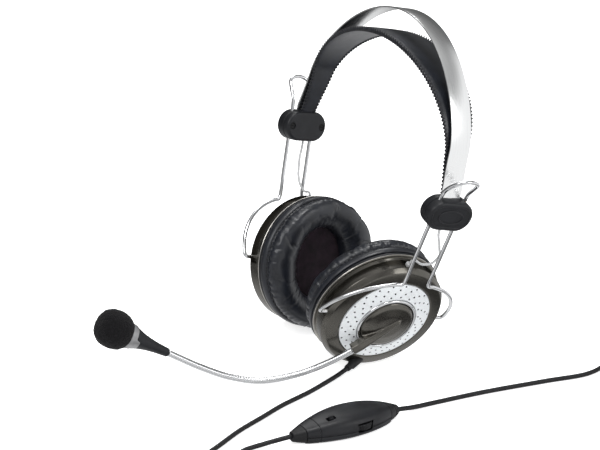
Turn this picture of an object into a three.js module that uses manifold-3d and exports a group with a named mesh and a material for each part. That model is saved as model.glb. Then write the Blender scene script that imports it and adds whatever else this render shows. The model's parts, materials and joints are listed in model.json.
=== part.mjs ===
// An office headset: sprung steel headband with a padded strap, two clamp blocks, two sliding
// wire yokes, two tilting ear cups, a turning microphone boom and a cord with an in-line
// controller. Millimetres, +Z up. The headset stands on both cups and the bend of its boom,
// leaning back; the cord lies on the same surface, Z = 0.
import * as THREE from 'three';
import { mergeVertices, toCreasedNormals } from 'three/addons/utils/BufferGeometryUtils.js';
import Module from 'manifold-3d';

const wasm = await Module();
wasm.setup();

// ---------------------------------------------------------------- driving dimensions
const GAP = 0.3;                    // clearance between touching pieces
const HEADBAND_Y = 59;              // the headband's plane at pivot height
const PIVOT_HEIGHT = 37.66;         // ear cup pivots above the surface
const LEAN_BACK = 13;               // degrees

const BLOCK_RISE = 74.7;            // clamp blocks above the pivots
const BLOCK_HALF_SPAN = 74;         // clamp blocks from the middle
const BLOCK = { width: 30, height: 18.4, thickness: 11.6, split: -0.7 };
const SCREW_HALF_SPACING = 11.3;

const BAND = { halfWidth: 14.5 / 2, endHalfWidth: 6, thickness: 0.9 };
const ARCH = { halfSpan: 70.5, rise: 59.9, power: 1.39, spring: BLOCK_RISE + 37.6,
  footOutset: 1.6 };
const STRAP = { clearance: 3.1, crownGap: 15.8, power: 1.15, endHalfWidth: 5.3,
  midHalfWidth: 15.8, widening: 1.3, footLength: 24, archLength: 95 };

const WIRE_RADIUS = 1.15;
const LEG_HALF_SPACING = 8.5;
const LEG_OUTSET = 0.6;             // legs outward of the block's middle
const SHOULDER_DROP = 46;           // leg bends below the block's middle
const PIVOT_INSET = 18.1;           // pivots inward of the block's middle, along the yoke
const PIVOT_DROP = 79.2;
const ARM = { reach: 43.5, rise: 38.6, pinReach: 35 };

const LEFT = { turn: 0, lean: 10.2, twist: -5.1, cupTilt: 19.7, drawnOut: 3, frontSign: -1,
  leadHole: 2.6 };
const RIGHT = { turn: 180, lean: 11.3, twist: 1.9, cupTilt: 12.3, drawnOut: 0, frontSign: 1,
  leadHole: -0.8 };

const CUP = { radius: 38.6, faceRadius: 36.3, wellRadius: 29, recessRadius: 36.4, face: 5.6 };
const CUP_SEGMENTS = 30;
const BAFFLE_RADIUS = 39.6;
const CUSHION = { radius: 40.8, hole: 21.6, base: -11, front: -24 };
const HUB_RADIUS = 16.6;

const BOOM_DROP = 45;               // degrees below straight ahead, in the cup's face
const BOOM_ARM_END = 24.5;          // from the hub's middle
const NECK_RADIUS = 2;
const NECK_ROUTE = [[47.46, 39.16, 20.51], [42.2, 27.7, 13.1], [35.5, 11.8, 5.8], [27.7, -9.3, 2.3],
  [22, -28, 6.3], [17.1, -45.9, 14.7], [12.3, -65, 25.9]];

const CORD_RADIUS = 1.4;
const CORD_SIDES = 8;
const TAIL_RADIUS = 1.3;
const CONTROLLER = { length: 72, width: 24, height: 13.6, endWidth: 5.4, endHeight: 7.5, split: 4.6,
  cordHeight: 4.6, frontCap: 7.4, rearCap: 8.6, at: [93.6, 4] };
const WHEEL = { radius: 7.4, x: 5.2, y: 6 };
const SLIDER = { x: 3.4, y: -12.4, top: 14.2, slot: 2.8 };

// In the cup's own frame: the cord's gland at the bottom and the signal lead's way in at the top.
const GLAND = { inner: [2.2, 1, -33.6], outer: [9.6, -10.4, -35.8], radius: 2.1 };
const LEAD_IN = { x: -2.2, y: 1.5 };
// The signal leads in the yokes' frames, and their last points from the way in.
const SIGNAL_LEAD = {
  left: { upper: [[-2.6, 2.9, -12], [-2.9, 7, -20], [-4.85, 12, -28]],
    lower: [[-5, 12.2, -28.6], [-7.85, 11.5, -35.8]], into: [[3.4, 5.6, 2], [0.7, 1, 3], [0, 0, 0]] },
  right: { upper: [[-2.9, -0.4, -13], [-4.2, 1.3, -19.5], [-8, 3.7, -28.3]],
    lower: [[-8.3, 3.85, -28.8], [-12, 4.8, -34.1]], into: [[3.6, 1.7, 1.9], [1.2, 0.6, 2], [0, 0, 0]] },
};
const CORD_ROUTE = [[38.6, 43.2, 3.2], [41.2, 35.2, 2.1], [45.2, 23.2, 1.5], [50.4, 8.2, 1.5],
  [56.5, -13.8, 1.5], [63.2, -31.8, 1.5], [70.2, -50.8, 1.5], [78, -67.3, 1.5], [86.5, -83.8, 1.5],
  [96, -92.8, 1.5], [106, -89.8, 1.5], [107, -79.8, 1.5], [97, -71.8, 1.5], [90.4, -61.8, 1.5],
  [90.6, -47.8, 2.6], [92.9, -33.3, 4.4]];
const LEAD_ROUTE = [[94.2, 41.3, 4.4], [93, 52.2, 2.4], [92.6, 66.2, 1.5], [95.2, 102.2, 1.5],
  [100.6, 144.2, 1.5], [104.5, 174.2, 1.5], [100, 190.2, 1.5], [90.4, 201.5, 1.5], [86.4, 212.6, 1.5]];
const EXIT_ROUTE = [[109.8, 248.6, 9], [120.8, 248, 5.2], [132, 252, 2.3], [142, 260.5, 1.5],
  [151, 264.6, 1.5], [157, 260.5, 1.5], [158, 251.6, 1.6]];
const SPLITTER = { at: [158, 244], width: 9, length: 14, height: 5 };
// One tail's points from the splitter: across, along, height.
const TAIL = [[2.4, 0, 2], [3, 12, 1.5], [5.2, 27, 1.6], [6.2, 40, 4.2]];
const COIL = { at: [106, 225.3], inner: 8.5, outer: 21.6, height: 11.7, sides: 28 };

// ---------------------------------------------------------------- small helpers
const rad = THREE.MathUtils.degToRad;
const V = (x, y, z) => new THREE.Vector3(x, y, z);

const finish = {
  steel: { color: 0xc9cccd, roughness: 0.28, metalness: 1 },
  chrome: { color: 0xdfe2e4, roughness: 0.08, metalness: 1 },
  gunmetal: { color: 0x5d5b52, roughness: 0.35, metalness: 0.8 },
  silver: { color: 0xc6cacc, roughness: 0.5, metalness: 0.6 },
  blackPlastic: { color: 0x1d1e21, roughness: 0.5, metalness: 0 },
  blackRubber: { color: 0x161617, roughness: 0.65, metalness: 0 },
  leatherette: { color: 0x1a1c21, roughness: 0.45, metalness: 0 },
  cloth: { color: 0x1c1520, roughness: 0.95, metalness: 0 },
  foam: { color: 0x101012, roughness: 1, metalness: 0 },
  greyLead: { color: 0xb4b6b7, roughness: 0.5, metalness: 0 },
  board: { color: 0x1f4a2c, roughness: 0.6, metalness: 0 },
  gold: { color: 0xc9a24a, roughness: 0.25, metalness: 1 },
};

function piece(parent, name, geometry, look) {
  const mesh = new THREE.Mesh(geometry, new THREE.MeshStandardMaterial(finish[look]));
  mesh.name = name;
  parent.add(mesh);
  return mesh;
}

function weld(geometry) {
  const bare = geometry.clone();
  bare.deleteAttribute('normal');
  bare.deleteAttribute('uv');
  return mergeVertices(bare, 1e-4);
}

function solid(geometry) {
  const g = weld(geometry);
  const vertProperties = new Float32Array(g.attributes.position.array);
  return new wasm.Manifold(new wasm.Mesh({
    numProp: 3, vertProperties, triVerts: new Uint32Array(g.index.array) }));
}

function geometryOf(manifold) {
  const mesh = manifold.getMesh();
  const geometry = new THREE.BufferGeometry();
  geometry.setAttribute('position', new THREE.BufferAttribute(mesh.vertProperties, 3));
  geometry.setIndex(new THREE.BufferAttribute(mesh.triVerts, 1));
  return toCreasedNormals(geometry, rad(35));
}

function cut(geometry, ...tools) {
  let body = solid(geometry);
  for (const tool of tools) body = body.subtract(solid(tool));
  return geometryOf(body);
}

function join(geometry, ...others) {
  let body = solid(geometry);
  for (const other of others) body = body.add(solid(other));
  return geometryOf(body);
}

// A turned shape about X from [radius, x] points; points run anticlockwise and the outline
// either starts and ends on the axis or closes on itself.
function turned(profile, segments = CUP_SEGMENTS) {
  const outline = profile.map(([r, x]) => new THREE.Vector2(r, x));
  if (profile[0][0] > 0) outline.push(outline[0].clone());
  return new THREE.LatheGeometry(outline, segments).rotateZ(-Math.PI / 2);
}

// A square-edged ring about X, or a disc where its hole is 0.
function ring(hole, outer, from, to, segments = CUP_SEGMENTS) {
  return turned([[hole, from], [outer, from], [outer, to], [hole, to]], segments);
}

function box(x0, x1, y0, y1, z0, z1) {
  const shape = new THREE.BoxGeometry(x1 - x0, y1 - y0, z1 - z0);
  return shape.translate((x0 + x1) / 2, (y0 + y1) / 2, (z0 + z1) / 2);
}

// A pill-shaped plate in the YZ plane, between two X values, with an optional bevel.
function pill(width, height, from, to, bevel = 0, segments = 6) {
  const r = height / 2 - bevel;
  const half = width / 2 - height / 2;
  const outline = new THREE.Shape();
  outline.absarc(half, 0, r, -Math.PI / 2, Math.PI / 2);
  outline.absarc(-half, 0, r, Math.PI / 2, 1.5 * Math.PI);
  const shape = new THREE.ExtrudeGeometry(outline, {
    depth: to - from - 2 * bevel, curveSegments: segments, bevelEnabled: bevel > 0,
    bevelThickness: bevel, bevelSize: bevel, bevelSegments: 1 });
  // The plate's outline lies in XY and grows along Z: turn Z to X, X to Y, Y to Z.
  shape.applyMatrix4(new THREE.Matrix4().set(0, 0, 1, 0, 1, 0, 0, 0, 0, 1, 0, 0, 0, 0, 0, 1));
  return shape.translate(from + bevel, 0, 0);
}

function rod(from, to, radius, endRadius = radius, sides = 12) {
  const length = from.distanceTo(to);
  const shape = new THREE.CylinderGeometry(endRadius, radius, length, sides);
  const along = to.clone().sub(from).normalize();
  const turn = new THREE.Quaternion().setFromUnitVectors(V(0, 1, 0), along);
  const middle = from.clone().add(to).multiplyScalar(0.5);
  return shape.applyQuaternion(turn).translate(middle.x, middle.y, middle.z);
}

function circle(radius, sides) {
  const outline = new THREE.Shape();
  for (let i = 0; i < sides; i += 1) {
    const a = (i * 2 * Math.PI) / sides;
    if (i === 0) outline.moveTo(radius, 0);
    else outline.lineTo(radius * Math.cos(a), radius * Math.sin(a));
  }
  outline.closePath();
  return outline;
}

function tube(curve, radius, sides, steps) {
  return new THREE.ExtrudeGeometry(circle(radius, sides), { steps, extrudePath: curve });
}

function routeTube(points, radius, sides, steps) {
  const curve = new THREE.CatmullRomCurve3(points.map((p) => V(...p)), false, 'centripetal');
  return tube(curve, radius, sides, steps);
}

// A closed body through a row of cross-sections, each the same number of points.
function skin(sections, crease) {
  const n = sections[0].length;
  const position = sections.flat().flatMap((p) => [p.x, p.y, p.z]);
  const index = [];
  for (let i = 0; i + 1 < sections.length; i += 1) {
    for (let j = 0; j < n; j += 1) {
      const k = (j + 1) % n;
      const [p, q, r, s] = [i * n + j, i * n + k, (i + 1) * n + k, (i + 1) * n + j];
      index.push(p, q, r, p, r, s);
    }
  }
  const last = (sections.length - 1) * n;
  for (let j = 1; j + 1 < n; j += 1) {
    index.push(0, j + 1, j, last, last + j, last + j + 1);
  }
  const geometry = new THREE.BufferGeometry();
  geometry.setAttribute('position', new THREE.Float32BufferAttribute(position, 3));
  geometry.setIndex(index);
  return toCreasedNormals(geometry, rad(crease));
}

// A strip that follows stations {x, z, halfWidth, halfThickness} in the XZ plane, wide along Y.
// The cross-section is the list of [across, through] fractions.
function strip(stations, section) {
  const sections = stations.map((s, i) => {
    const a = stations[Math.max(i - 1, 0)];
    const b = stations[Math.min(i + 1, stations.length - 1)];
    const length = Math.hypot(b.x - a.x, b.z - a.z);
    const nx = -(b.z - a.z) / length;
    const nz = (b.x - a.x) / length;
    return section.map(([across, through]) => {
      const t = through * s.halfThickness;
      return V(s.x + nx * t, across * s.halfWidth, s.z + nz * t);
    });
  });
  return skin(sections, 40);
}

// A round wire through corner points: the section turns with the route and never twists.
function wire(route, radius, sides) {
  let across = null;
  const sections = route.map((p, i) => {
    const back = p.clone().sub(route[Math.max(i - 1, 0)]).normalize();
    const ahead = route[Math.min(i + 1, route.length - 1)].clone().sub(p).normalize();
    const along = back.add(ahead).normalize();
    if (!across) across = V(1, 0, 0).cross(along);
    across = across.clone().addScaledVector(along, -across.dot(along)).normalize();
    const up = along.clone().cross(across);
    return Array.from({ length: sides }, (_, j) => {
      const a = (j * 2 * Math.PI) / sides;
      const q = p.clone().addScaledVector(across, radius * Math.cos(a));
      return q.addScaledVector(up, radius * Math.sin(a));
    });
  });
  return skin(sections, 60);
}

// ---------------------------------------------------------------- headband
function archPoint(angle, inset, crownGap, power) {
  const x = (ARCH.halfSpan - inset) * Math.sin(angle);
  const z = ARCH.spring + (ARCH.rise - crownGap) * Math.cos(angle) ** power;
  return { x, z };
}

// Stations from one foot of the arch up to its crown.
function archHalf(inset, crownGap, power, footHeight, count) {
  const stations = [];
  for (let i = 0; i <= 8; i += 1) {
    const down = 1 - i / 8;
    const flare = (BLOCK_HALF_SPAN + ARCH.footOutset - ARCH.halfSpan) * down ** 1.3;
    stations.push({ x: ARCH.halfSpan - inset + flare, z: ARCH.spring - footHeight * down,
      down, bend: 0 });
  }
  for (let i = 1; i <= count; i += 1) {
    const angle = (Math.PI / 2) * (1 - i / count);
    const crown = archPoint(angle, inset, crownGap, power);
    stations.push({ ...crown, down: 0, bend: i / count });
  }
  return stations;
}

// Stations from the right block over the crown to the left one. Each foot stops a little
// above its own clamp block's middle.
function archStations(inset, crownGap, power, footRise, count, size) {
  const height = (pose) => ARCH.spring - BLOCK_RISE - pose.drawnOut - footRise;
  const right = archHalf(inset, crownGap, power, height(RIGHT), count);
  const left = archHalf(inset, crownGap, power, height(LEFT), count);
  const mirrored = right.slice(0, -1).map((p) => ({ ...p, x: -p.x }));
  return [...mirrored, ...left.reverse()].map((p) => ({ ...p, ...size(p) }));
}

function headband(parent) {
  const bandSize = (p) => ({
    halfWidth: p.down > 0.8 ? BAND.endHalfWidth : BAND.halfWidth,
    halfThickness: BAND.thickness / 2 });
  const flat = [[-1, -1], [1, -1], [1, 1], [-1, 1]];
  piece(parent, 'spring_band',
    strip(archStations(0, 0, ARCH.power, 5, 18, bandSize), flat), 'steel');
  // The strap widens smoothly from its feet to its crown.
  const strapSize = (p) => {
    const { footLength, archLength, endHalfWidth, midHalfWidth } = STRAP;
    const climbed = (footLength * (1 - p.down) + archLength * p.bend) / (footLength + archLength);
    const growth = Math.sin((Math.PI / 2) * climbed) ** STRAP.widening;
    return { halfWidth: endHalfWidth + (midHalfWidth - endHalfWidth) * growth,
      halfThickness: 0.9 + 1.1 * p.bend };
  };
  const padded = [[-1, -0.4], [-0.8, -1], [0.8, -1], [1, -0.4], [1, 0.4], [0.8, 1], [-0.8, 1],
    [-1, 0.4]];
  piece(parent, 'headband_strap',
    strip(archStations(STRAP.clearance, STRAP.crownGap, STRAP.power, 12, 14, strapSize), padded),
    'leatherette');
}

// ---------------------------------------------------------------- one side, outward along +X
function clampBlock(side, name, pose) {
  const half = BLOCK.thickness / 2;
  const { width, height, split } = BLOCK;
  const channels = [-1, 1].map((s) => {
    const y = s * LEG_HALF_SPACING;
    return box(-3, LEG_OUTSET + 1.5, y - 1.35, y + 1.35, -height, height);
  });
  const bandSlot = box(-4, 2.4, -6.6, 6.6, 2.4, height);
  const springPocket = box(-3, 2.9, -7.4, 7.4, -6.2, 1.8);
  const leadHole = rod(V(-2.6, pose.leadHole, -height), V(-2.6, pose.leadHole, -5), 1.1, 1.1, 8);
  const screwHoles = [-1, 1].map((s) => {
    const y = s * SCREW_HALF_SPACING;
    return join(rod(V(-half - 1, y, 0), V(-half + 1.6, y, 0), 2.3, 2.3, 10),
      rod(V(-half, y, 0), V(3.4, y, 0), 1.3, 1.3, 6));
  });
  const outer = pill(width, height, split + GAP / 2, half, 1.2);
  piece(side, `${name}_block_outer_cover`,
    cut(outer, ...channels, bandSlot, springPocket, ...screwHoles), 'blackPlastic');
  const inner = pill(width, height, -half, split - GAP / 2, 1.2);
  piece(side, `${name}_block_inner_cover`,
    cut(inner, bandSlot, leadHole, ...screwHoles), 'blackPlastic');
  piece(side, `${name}_clamp_spring`, box(2.15, 2.6, -7.1, 7.1, -5.8, 1.4), 'steel');
  const ends = { front: pose.frontSign, rear: -pose.frontSign };
  for (const [end, s] of Object.entries(ends)) {
    const y = s * SCREW_HALF_SPACING;
    const head = rod(V(-half + 0.3, y, 0), V(-half + 1.3, y, 0), 1.9, 1.9, 10);
    const shank = rod(V(-half + 1, y, 0), V(3.1, y, 0), 0.95, 0.95, 6);
    const recess = box(-half, -half + 0.8, y - 1.1, y + 1.1, -0.3, 0.3);
    piece(side, `${name}_block_screw_${end}`, cut(join(head, shank), recess), 'blackPlastic');
  }
}

// Points of one half of the yoke wire, from its pivot pin to the top of the finger loop.
function yokeHalf(s) {
  const across = LEG_OUTSET + PIVOT_INSET;
  const along = PIVOT_DROP - SHOULDER_DROP;
  const slope = Math.hypot(across, along);
  const points = [];
  const onArm = (u, y) => [-PIVOT_INSET + (across / slope) * u, s * y,
    -PIVOT_DROP + (along / slope) * u];
  points.push(onArm(0, ARM.pinReach), onArm(0, ARM.reach - 2.4), onArm(1, ARM.reach - 0.6));
  const shoulder = Math.acos(LEG_HALF_SPACING / ARM.reach);
  for (let i = 1; i < 8; i += 1) {
    const a = (shoulder * i) / 8;
    points.push(onArm(ARM.rise * Math.sin(a), ARM.reach * Math.cos(a)));
  }
  const leg = (x, y, z) => [x, s * y, z];
  points.push(leg(LEG_OUTSET - 0.6, LEG_HALF_SPACING + 1.2, -SHOULDER_DROP - 0.8));
  points.push(leg(LEG_OUTSET, LEG_HALF_SPACING, -SHOULDER_DROP + 1.2));
  points.push(leg(LEG_OUTSET, LEG_HALF_SPACING, -BLOCK.height));
  points.push(leg(LEG_OUTSET, LEG_HALF_SPACING, 12));
  points.push(leg(1.4, LEG_HALF_SPACING, 17), leg(4.6, 8.3, 22), leg(8.2, 6.6, 26.6));
  points.push(leg(9.6, 3, 28.6));
  return points;
}

function yoke(side, name) {
  const route = [...yokeHalf(-1), ...yokeHalf(1).reverse()].map((p) => V(...p));
  piece(side, `${name}_yoke_wire`, wire(route, WIRE_RADIUS, 6), 'chrome');
}

// The thin lead from the block to the cup, in two lengths that meet level with the shoulders.
function signalLead(side, cup, name, pose) {
  cup.updateMatrix();
  const end = V(LEAD_IN.x, LEAD_IN.y, 38.9).applyMatrix4(cup.matrix);
  const { upper, lower, into } = SIGNAL_LEAD[name];
  const start = [-2.6, pose.leadHole, pose.drawnOut - 6.6];
  const last = into.map(([x, y, z]) => [end.x + x, end.y + y, end.z + z]);
  piece(side, `${name}_lead_upper`, routeTube([start, ...upper], 0.75, 6, 10), 'greyLead');
  piece(side, `${name}_lead_lower`, routeTube([...lower, ...last], 0.75, 6, 10), 'greyLead');
}

// ---------------------------------------------------------------- one ear cup, outward along +X
function gland(radius) {
  return rod(V(...GLAND.inner), V(...GLAND.outer), radius, radius, 10);
}

function earCup(cup, name) {
  const { radius, faceRadius, wellRadius, recessRadius, face } = CUP;
  const shell = turned([[6, 1.2], [31, 1.2], [34, -1], [34.2, -8], [radius, -8], [radius, 0.8],
    [faceRadius, 4.1], [wellRadius + 0.6, face - 0.3], [wellRadius, face - 0.5], [wellRadius, 3],
    [6, 3]]);
  const recess = solid(ring(recessRadius, radius + 4, -5.2, 0.9))
    .intersect(solid(box(-9, 9, -60, 60, -3.4, 60)));
  const pinHole = rod(V(0, -60, 0), V(0, 60, 0), 1.5, 1.5, 12);
  const leadHole = rod(V(LEAD_IN.x, LEAD_IN.y, 30), V(LEAD_IN.x, LEAD_IN.y, 45), 1.7, 1.7, 10);
  let bored = solid(shell).subtract(recess).subtract(solid(pinHole)).subtract(solid(leadHole));
  if (name === 'left') bored = bored.subtract(solid(gland(GLAND.radius + GAP)));
  piece(cup, `${name}_cup_shell`, geometryOf(bored), 'gunmetal');
  const onLead = (z) => V(LEAD_IN.x, LEAD_IN.y, z);
  piece(cup, `${name}_lead_grommet`, join(rod(onLead(34.6), onLead(38.6), 1.35, 1.35, 10),
    rod(onLead(37.1), onLead(38.6), 2.1, 2.1, 10)), 'greyLead');
  piece(cup, `${name}_perforated_ring`, turned([[19, 3 + GAP], [wellRadius - GAP, 3 + GAP],
    [wellRadius - GAP, face - 0.2], [19, 8]]), 'silver');
  piece(cup, `${name}_chrome_ring`, turned([[17, 3.3], [18.7, 3.3], [18.7, 8.1], [18.1, 8.9],
    [17.4, 8.9], [17, 8.3]]), 'chrome');
  piece(cup, `${name}_baffle_plate`, ring(14, BAFFLE_RADIUS, -10.6, -8.3), 'gunmetal');
  piece(cup, `${name}_driver`, turned([[0, -8], [19.8, -8], [19.8, -5.6], [10, -5.4], [10, -2.3],
    [0, -2.3]], 20), 'blackPlastic');
  piece(cup, `${name}_ear_cushion`, turned([[CUSHION.hole, -17.6], [23, -21.4],
    [27, CUSHION.front], [33, CUSHION.front], [38, -21.6], [CUSHION.radius, -17],
    [CUSHION.radius, -13.4], [40, CUSHION.base], [CUSHION.hole, CUSHION.base]], 24),
    'leatherette');
  piece(cup, `${name}_ear_cloth`, turned([[0, -12.8], [20.9, -12.2], [20.9, -11], [0, -11]], 20),
    'cloth');
}

function hubProfile() {
  return [[0, -1], [5.6, -1], [6.8, 0.2], [5.6, 0.8], [5.6, 3.3], [HUB_RADIUS, 3.3],
    [HUB_RADIUS, 8.8], [14.5, 10], [8, 11.4], [0, 12]];
}

const inFace = (x, along, drop) => V(x, -along * Math.cos(rad(drop)), -along * Math.sin(rad(drop)));

function boom(cup) {
  const nub = inFace(11, -7, BOOM_DROP);
  const tip = inFace(13.5, BOOM_ARM_END, BOOM_DROP);
  const arm = rod(nub, tip, 1.7, 3.2, 10);
  const end = new THREE.SphereGeometry(1.7, 8, 5).translate(nub.x, nub.y, nub.z);
  piece(cup, 'boom_hub', join(turned(hubProfile(), 20), arm, end), 'gunmetal');
}

function microphone(parent) {
  const route = NECK_ROUTE.map((p) => V(...p));
  piece(parent, 'boom_gooseneck', routeTube(NECK_ROUTE, NECK_RADIUS, 8, 24), 'chrome');
  const tip = route[route.length - 1];
  const along = tip.clone().sub(route[route.length - 2]).normalize();
  const head = new THREE.Group();
  head.position.copy(tip);
  head.quaternion.setFromUnitVectors(V(1, 0, 0), along);
  parent.add(head);
  piece(head, 'mic_housing', turned([[0, GAP], [2.55, GAP], [3.1, 8.5], [5, 19.5], [6.6, 24.2],
    [6.6, 24.8], [0, 24.8]], 16), 'blackPlastic');
  piece(head, 'mic_ring', ring(3, 7.6, 25.1, 28.8, 16), 'silver');
  piece(head, 'mic_capsule', ring(0, 4.8, 29.1, 34.5, 12), 'blackPlastic');
  piece(head, 'mic_foam', turned([[0, 37.5], [5.4, 36.5], [5.4, 29.1], [7.9, 29.1], [10.2, 32],
    [11.1, 36.5], [10.6, 41.4], [8, 46], [4, 47.9], [0, 48.1]], 16), 'foam');
}

// ---------------------------------------------------------------- in-line controller
function controllerBody() {
  const { length, width, height, endWidth, endHeight, split, at } = CONTROLLER;
  const sections = [];
  for (let i = 0; i <= 14; i += 1) {
    const t = -1 + i / 7;
    const y = (t * length) / 2;
    const bulge = 1 - Math.abs(t) ** (t < 0 ? 1.75 : 2.3);
    const w = (endWidth + (width - endWidth) * bulge) / 2;
    const top = endHeight + (height - endHeight) * bulge;
    const low = 1.9 * Math.max(0, 4 * Math.abs(t) - 3) ** 1.5;
    sections.push([[-0.62, low], [0.62, low], [0.94, low + 1.6], [1, split], [0.86, top - 2],
      [0.5, top - 0.3], [-0.5, top - 0.3], [-0.86, top - 2], [-1, split], [-0.94, low + 1.6]]
      .map(([u, z]) => V(at[0] + u * w, at[1] + y, z)));
  }
  return skin(sections.reverse(), 30);
}

function controller(parent) {
  const [cx, cy] = CONTROLLER.at;
  const at = (x0, x1, y0, y1, z0, z1) => box(cx + x0, cx + x1, cy + y0, cy + y1, z0, z1);
  const body = solid(controllerBody());
  const frontLine = CONTROLLER.frontCap - CONTROLLER.length / 2;
  const rearLine = CONTROLLER.length / 2 - CONTROLLER.rearCap;
  const part = (tool) => body.intersect(solid(tool));
  const hollow = solid(at(-6.4, 6.4, -22, 22, 1.4, 10.6));
  const { x: slideX, y: slideY } = SLIDER;
  const sliderSlot = solid(at(slideX - 1.6, slideX + 1.6, slideY - SLIDER.slot,
    slideY + SLIDER.slot, 9, 20));
  const wheelAt = (z) => V(cx + WHEEL.x, cy + WHEEL.y, z);
  const roomRadius = WHEEL.radius + 0.7;
  const wheelRoom = solid(rod(wheelAt(3.4), wheelAt(9), roomRadius, roomRadius, 20));
  const top = part(at(-30, 30, frontLine, rearLine, CONTROLLER.split + GAP / 2, 20));
  piece(parent, 'controller_top',
    geometryOf(top.subtract(hollow).subtract(sliderSlot).subtract(wheelRoom)), 'blackPlastic');
  const bottom = part(at(-30, 30, frontLine, rearLine, -1, CONTROLLER.split - GAP / 2));
  piece(parent, 'controller_bottom', geometryOf(bottom.subtract(hollow).subtract(wheelRoom)),
    'blackPlastic');
  const boreAt = (y) => V(cx, cy + y, CONTROLLER.cordHeight);
  const boreRadius = CORD_RADIUS + GAP;
  const capSpans = { front: [-60, frontLine - GAP], rear: [rearLine + GAP, 60] };
  for (const [end, [from, to]] of Object.entries(capSpans)) {
    const s = Math.sign(from + to);
    const cap = part(at(-30, 30, from, to, -1, 20));
    const bore = rod(boreAt(s * (CONTROLLER.length / 2 - 2)), boreAt(s * 60), boreRadius,
      boreRadius, 10);
    piece(parent, `controller_cap_${end}`, geometryOf(cap.subtract(solid(bore))), 'blackRubber');
  }
  piece(parent, 'controller_board', at(-5.8, 5.8, -21, 21, 1.8, 3), 'board');
  const wheel = rod(wheelAt(4.5), wheelAt(7.9), WHEEL.radius, WHEEL.radius, 20);
  const hub = rod(wheelAt(3.8), wheelAt(5.1), 2.2, 2.2, 8);
  piece(parent, 'volume_wheel', join(wheel, hub), 'blackRubber');
  const foot = at(slideX - 2.4, slideX + 2.4, slideY - 3.4, slideY + 3.4, 7.4, 8.6);
  const nub = at(slideX - 1.2, slideX + 1.2, slideY - 1.3, slideY + 1.3, 8, SLIDER.top);
  piece(parent, 'mute_slider', join(foot, nub), 'blackPlastic');
}

// ---------------------------------------------------------------- cord, coil and plugs
function cords(parent) {
  piece(parent, 'cord_to_controller',
    routeTube(CORD_ROUTE, CORD_RADIUS, CORD_SIDES, 34), 'blackRubber');
  piece(parent, 'cord_to_coil', routeTube(LEAD_ROUTE, CORD_RADIUS, CORD_SIDES, 22), 'blackRubber');
  piece(parent, 'cord_to_splitter',
    routeTube(EXIT_ROUTE, CORD_RADIUS, CORD_SIDES, 10), 'blackRubber');
  const { at, inner, outer, height, sides } = COIL;
  const coil = new THREE.LatheGeometry([[inner, 1], [inner + 3, 0], [outer - 3, 0], [outer, 2.4],
    [outer, height - 2.4], [outer - 3, height], [inner + 3, height], [inner, height - 1],
    [inner, 1]].map(([r, z]) => new THREE.Vector2(r, z)), sides);
  coil.rotateX(Math.PI / 2).translate(at[0], at[1], 0);
  piece(parent, 'cord_coil', coil, 'blackRubber');
  const [sx, sy] = SPLITTER.at;
  const halfWide = SPLITTER.width / 2;
  const halfLong = SPLITTER.length / 2;
  piece(parent, 'cord_splitter',
    box(sx - halfWide, sx + halfWide, sy - halfLong, sy + halfLong, 0, SPLITTER.height),
    'blackRubber');
  for (const [name, s] of Object.entries({ audio: -1, mic: 1 })) {
    const tail = TAIL.map(([x, y, z]) => [sx + s * x, sy - halfLong - GAP - y, z]);
    piece(parent, `${name}_tail`, routeTube(tail, TAIL_RADIUS, 6, 10), 'blackRubber');
    const [x, y, z] = tail[tail.length - 1];
    const grip = new THREE.Group();
    grip.position.set(x, y - GAP, z);
    grip.rotation.z = -Math.PI / 2;
    parent.add(grip);
    piece(grip, `${name}_plug_body`, turned([[0, 0], [2, 0], [2.6, 7], [4, 9], [4.2, 21],
      [3.4, 22], [0, 22]], 12), 'blackRubber');
    piece(grip, `${name}_plug_pin`, turned([[0, 22.3], [1.75, 22.3], [1.75, 33], [1.1, 34.4],
      [1.7, 35.2], [0, 36.6]], 10), 'gold');
  }
}

// ---------------------------------------------------------------- assembly
const model = new THREE.Group();
const headset = new THREE.Group();
headset.position.set(0, HEADBAND_Y, PIVOT_HEIGHT);
headset.rotation.x = -rad(LEAN_BACK);
model.add(headset);
headband(headset);

for (const [name, pose] of Object.entries({ left: LEFT, right: RIGHT })) {
  const turn = new THREE.Group();
  turn.rotation.z = rad(pose.turn);
  const side = new THREE.Group();
  side.position.set(BLOCK_HALF_SPAN, 0, BLOCK_RISE);
  side.rotation.set(0, rad(pose.lean), rad(pose.twist), 'ZYX');
  const cup = new THREE.Group();
  cup.position.set(-PIVOT_INSET, 0, -PIVOT_DROP);
  cup.rotation.y = rad(pose.cupTilt - pose.lean);
  headset.add(turn);
  turn.add(side);
  side.add(cup);
  const block = new THREE.Group();
  block.position.z = pose.drawnOut;
  side.add(block);
  clampBlock(block, name, pose);
  yoke(side, name);
  signalLead(side, cup, name, pose);
  earCup(cup, name);
  if (name === 'left') {
    boom(cup);
    piece(cup, 'cord_gland', gland(GLAND.radius), 'blackRubber');
  } else {
    piece(cup, 'right_hub_cap', turned(hubProfile(), 20), 'gunmetal');
  }
}
microphone(model);
controller(model);
cords(model);

export default model;
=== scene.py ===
"""The looks of an office headset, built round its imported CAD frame. Metres and +Z up; shapes that
belong to one side of the headset are drawn in millimetres in that side's own frame."""
import json
import math

import bmesh
import bpy
from mathutils import Matrix, Vector, noise


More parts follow.
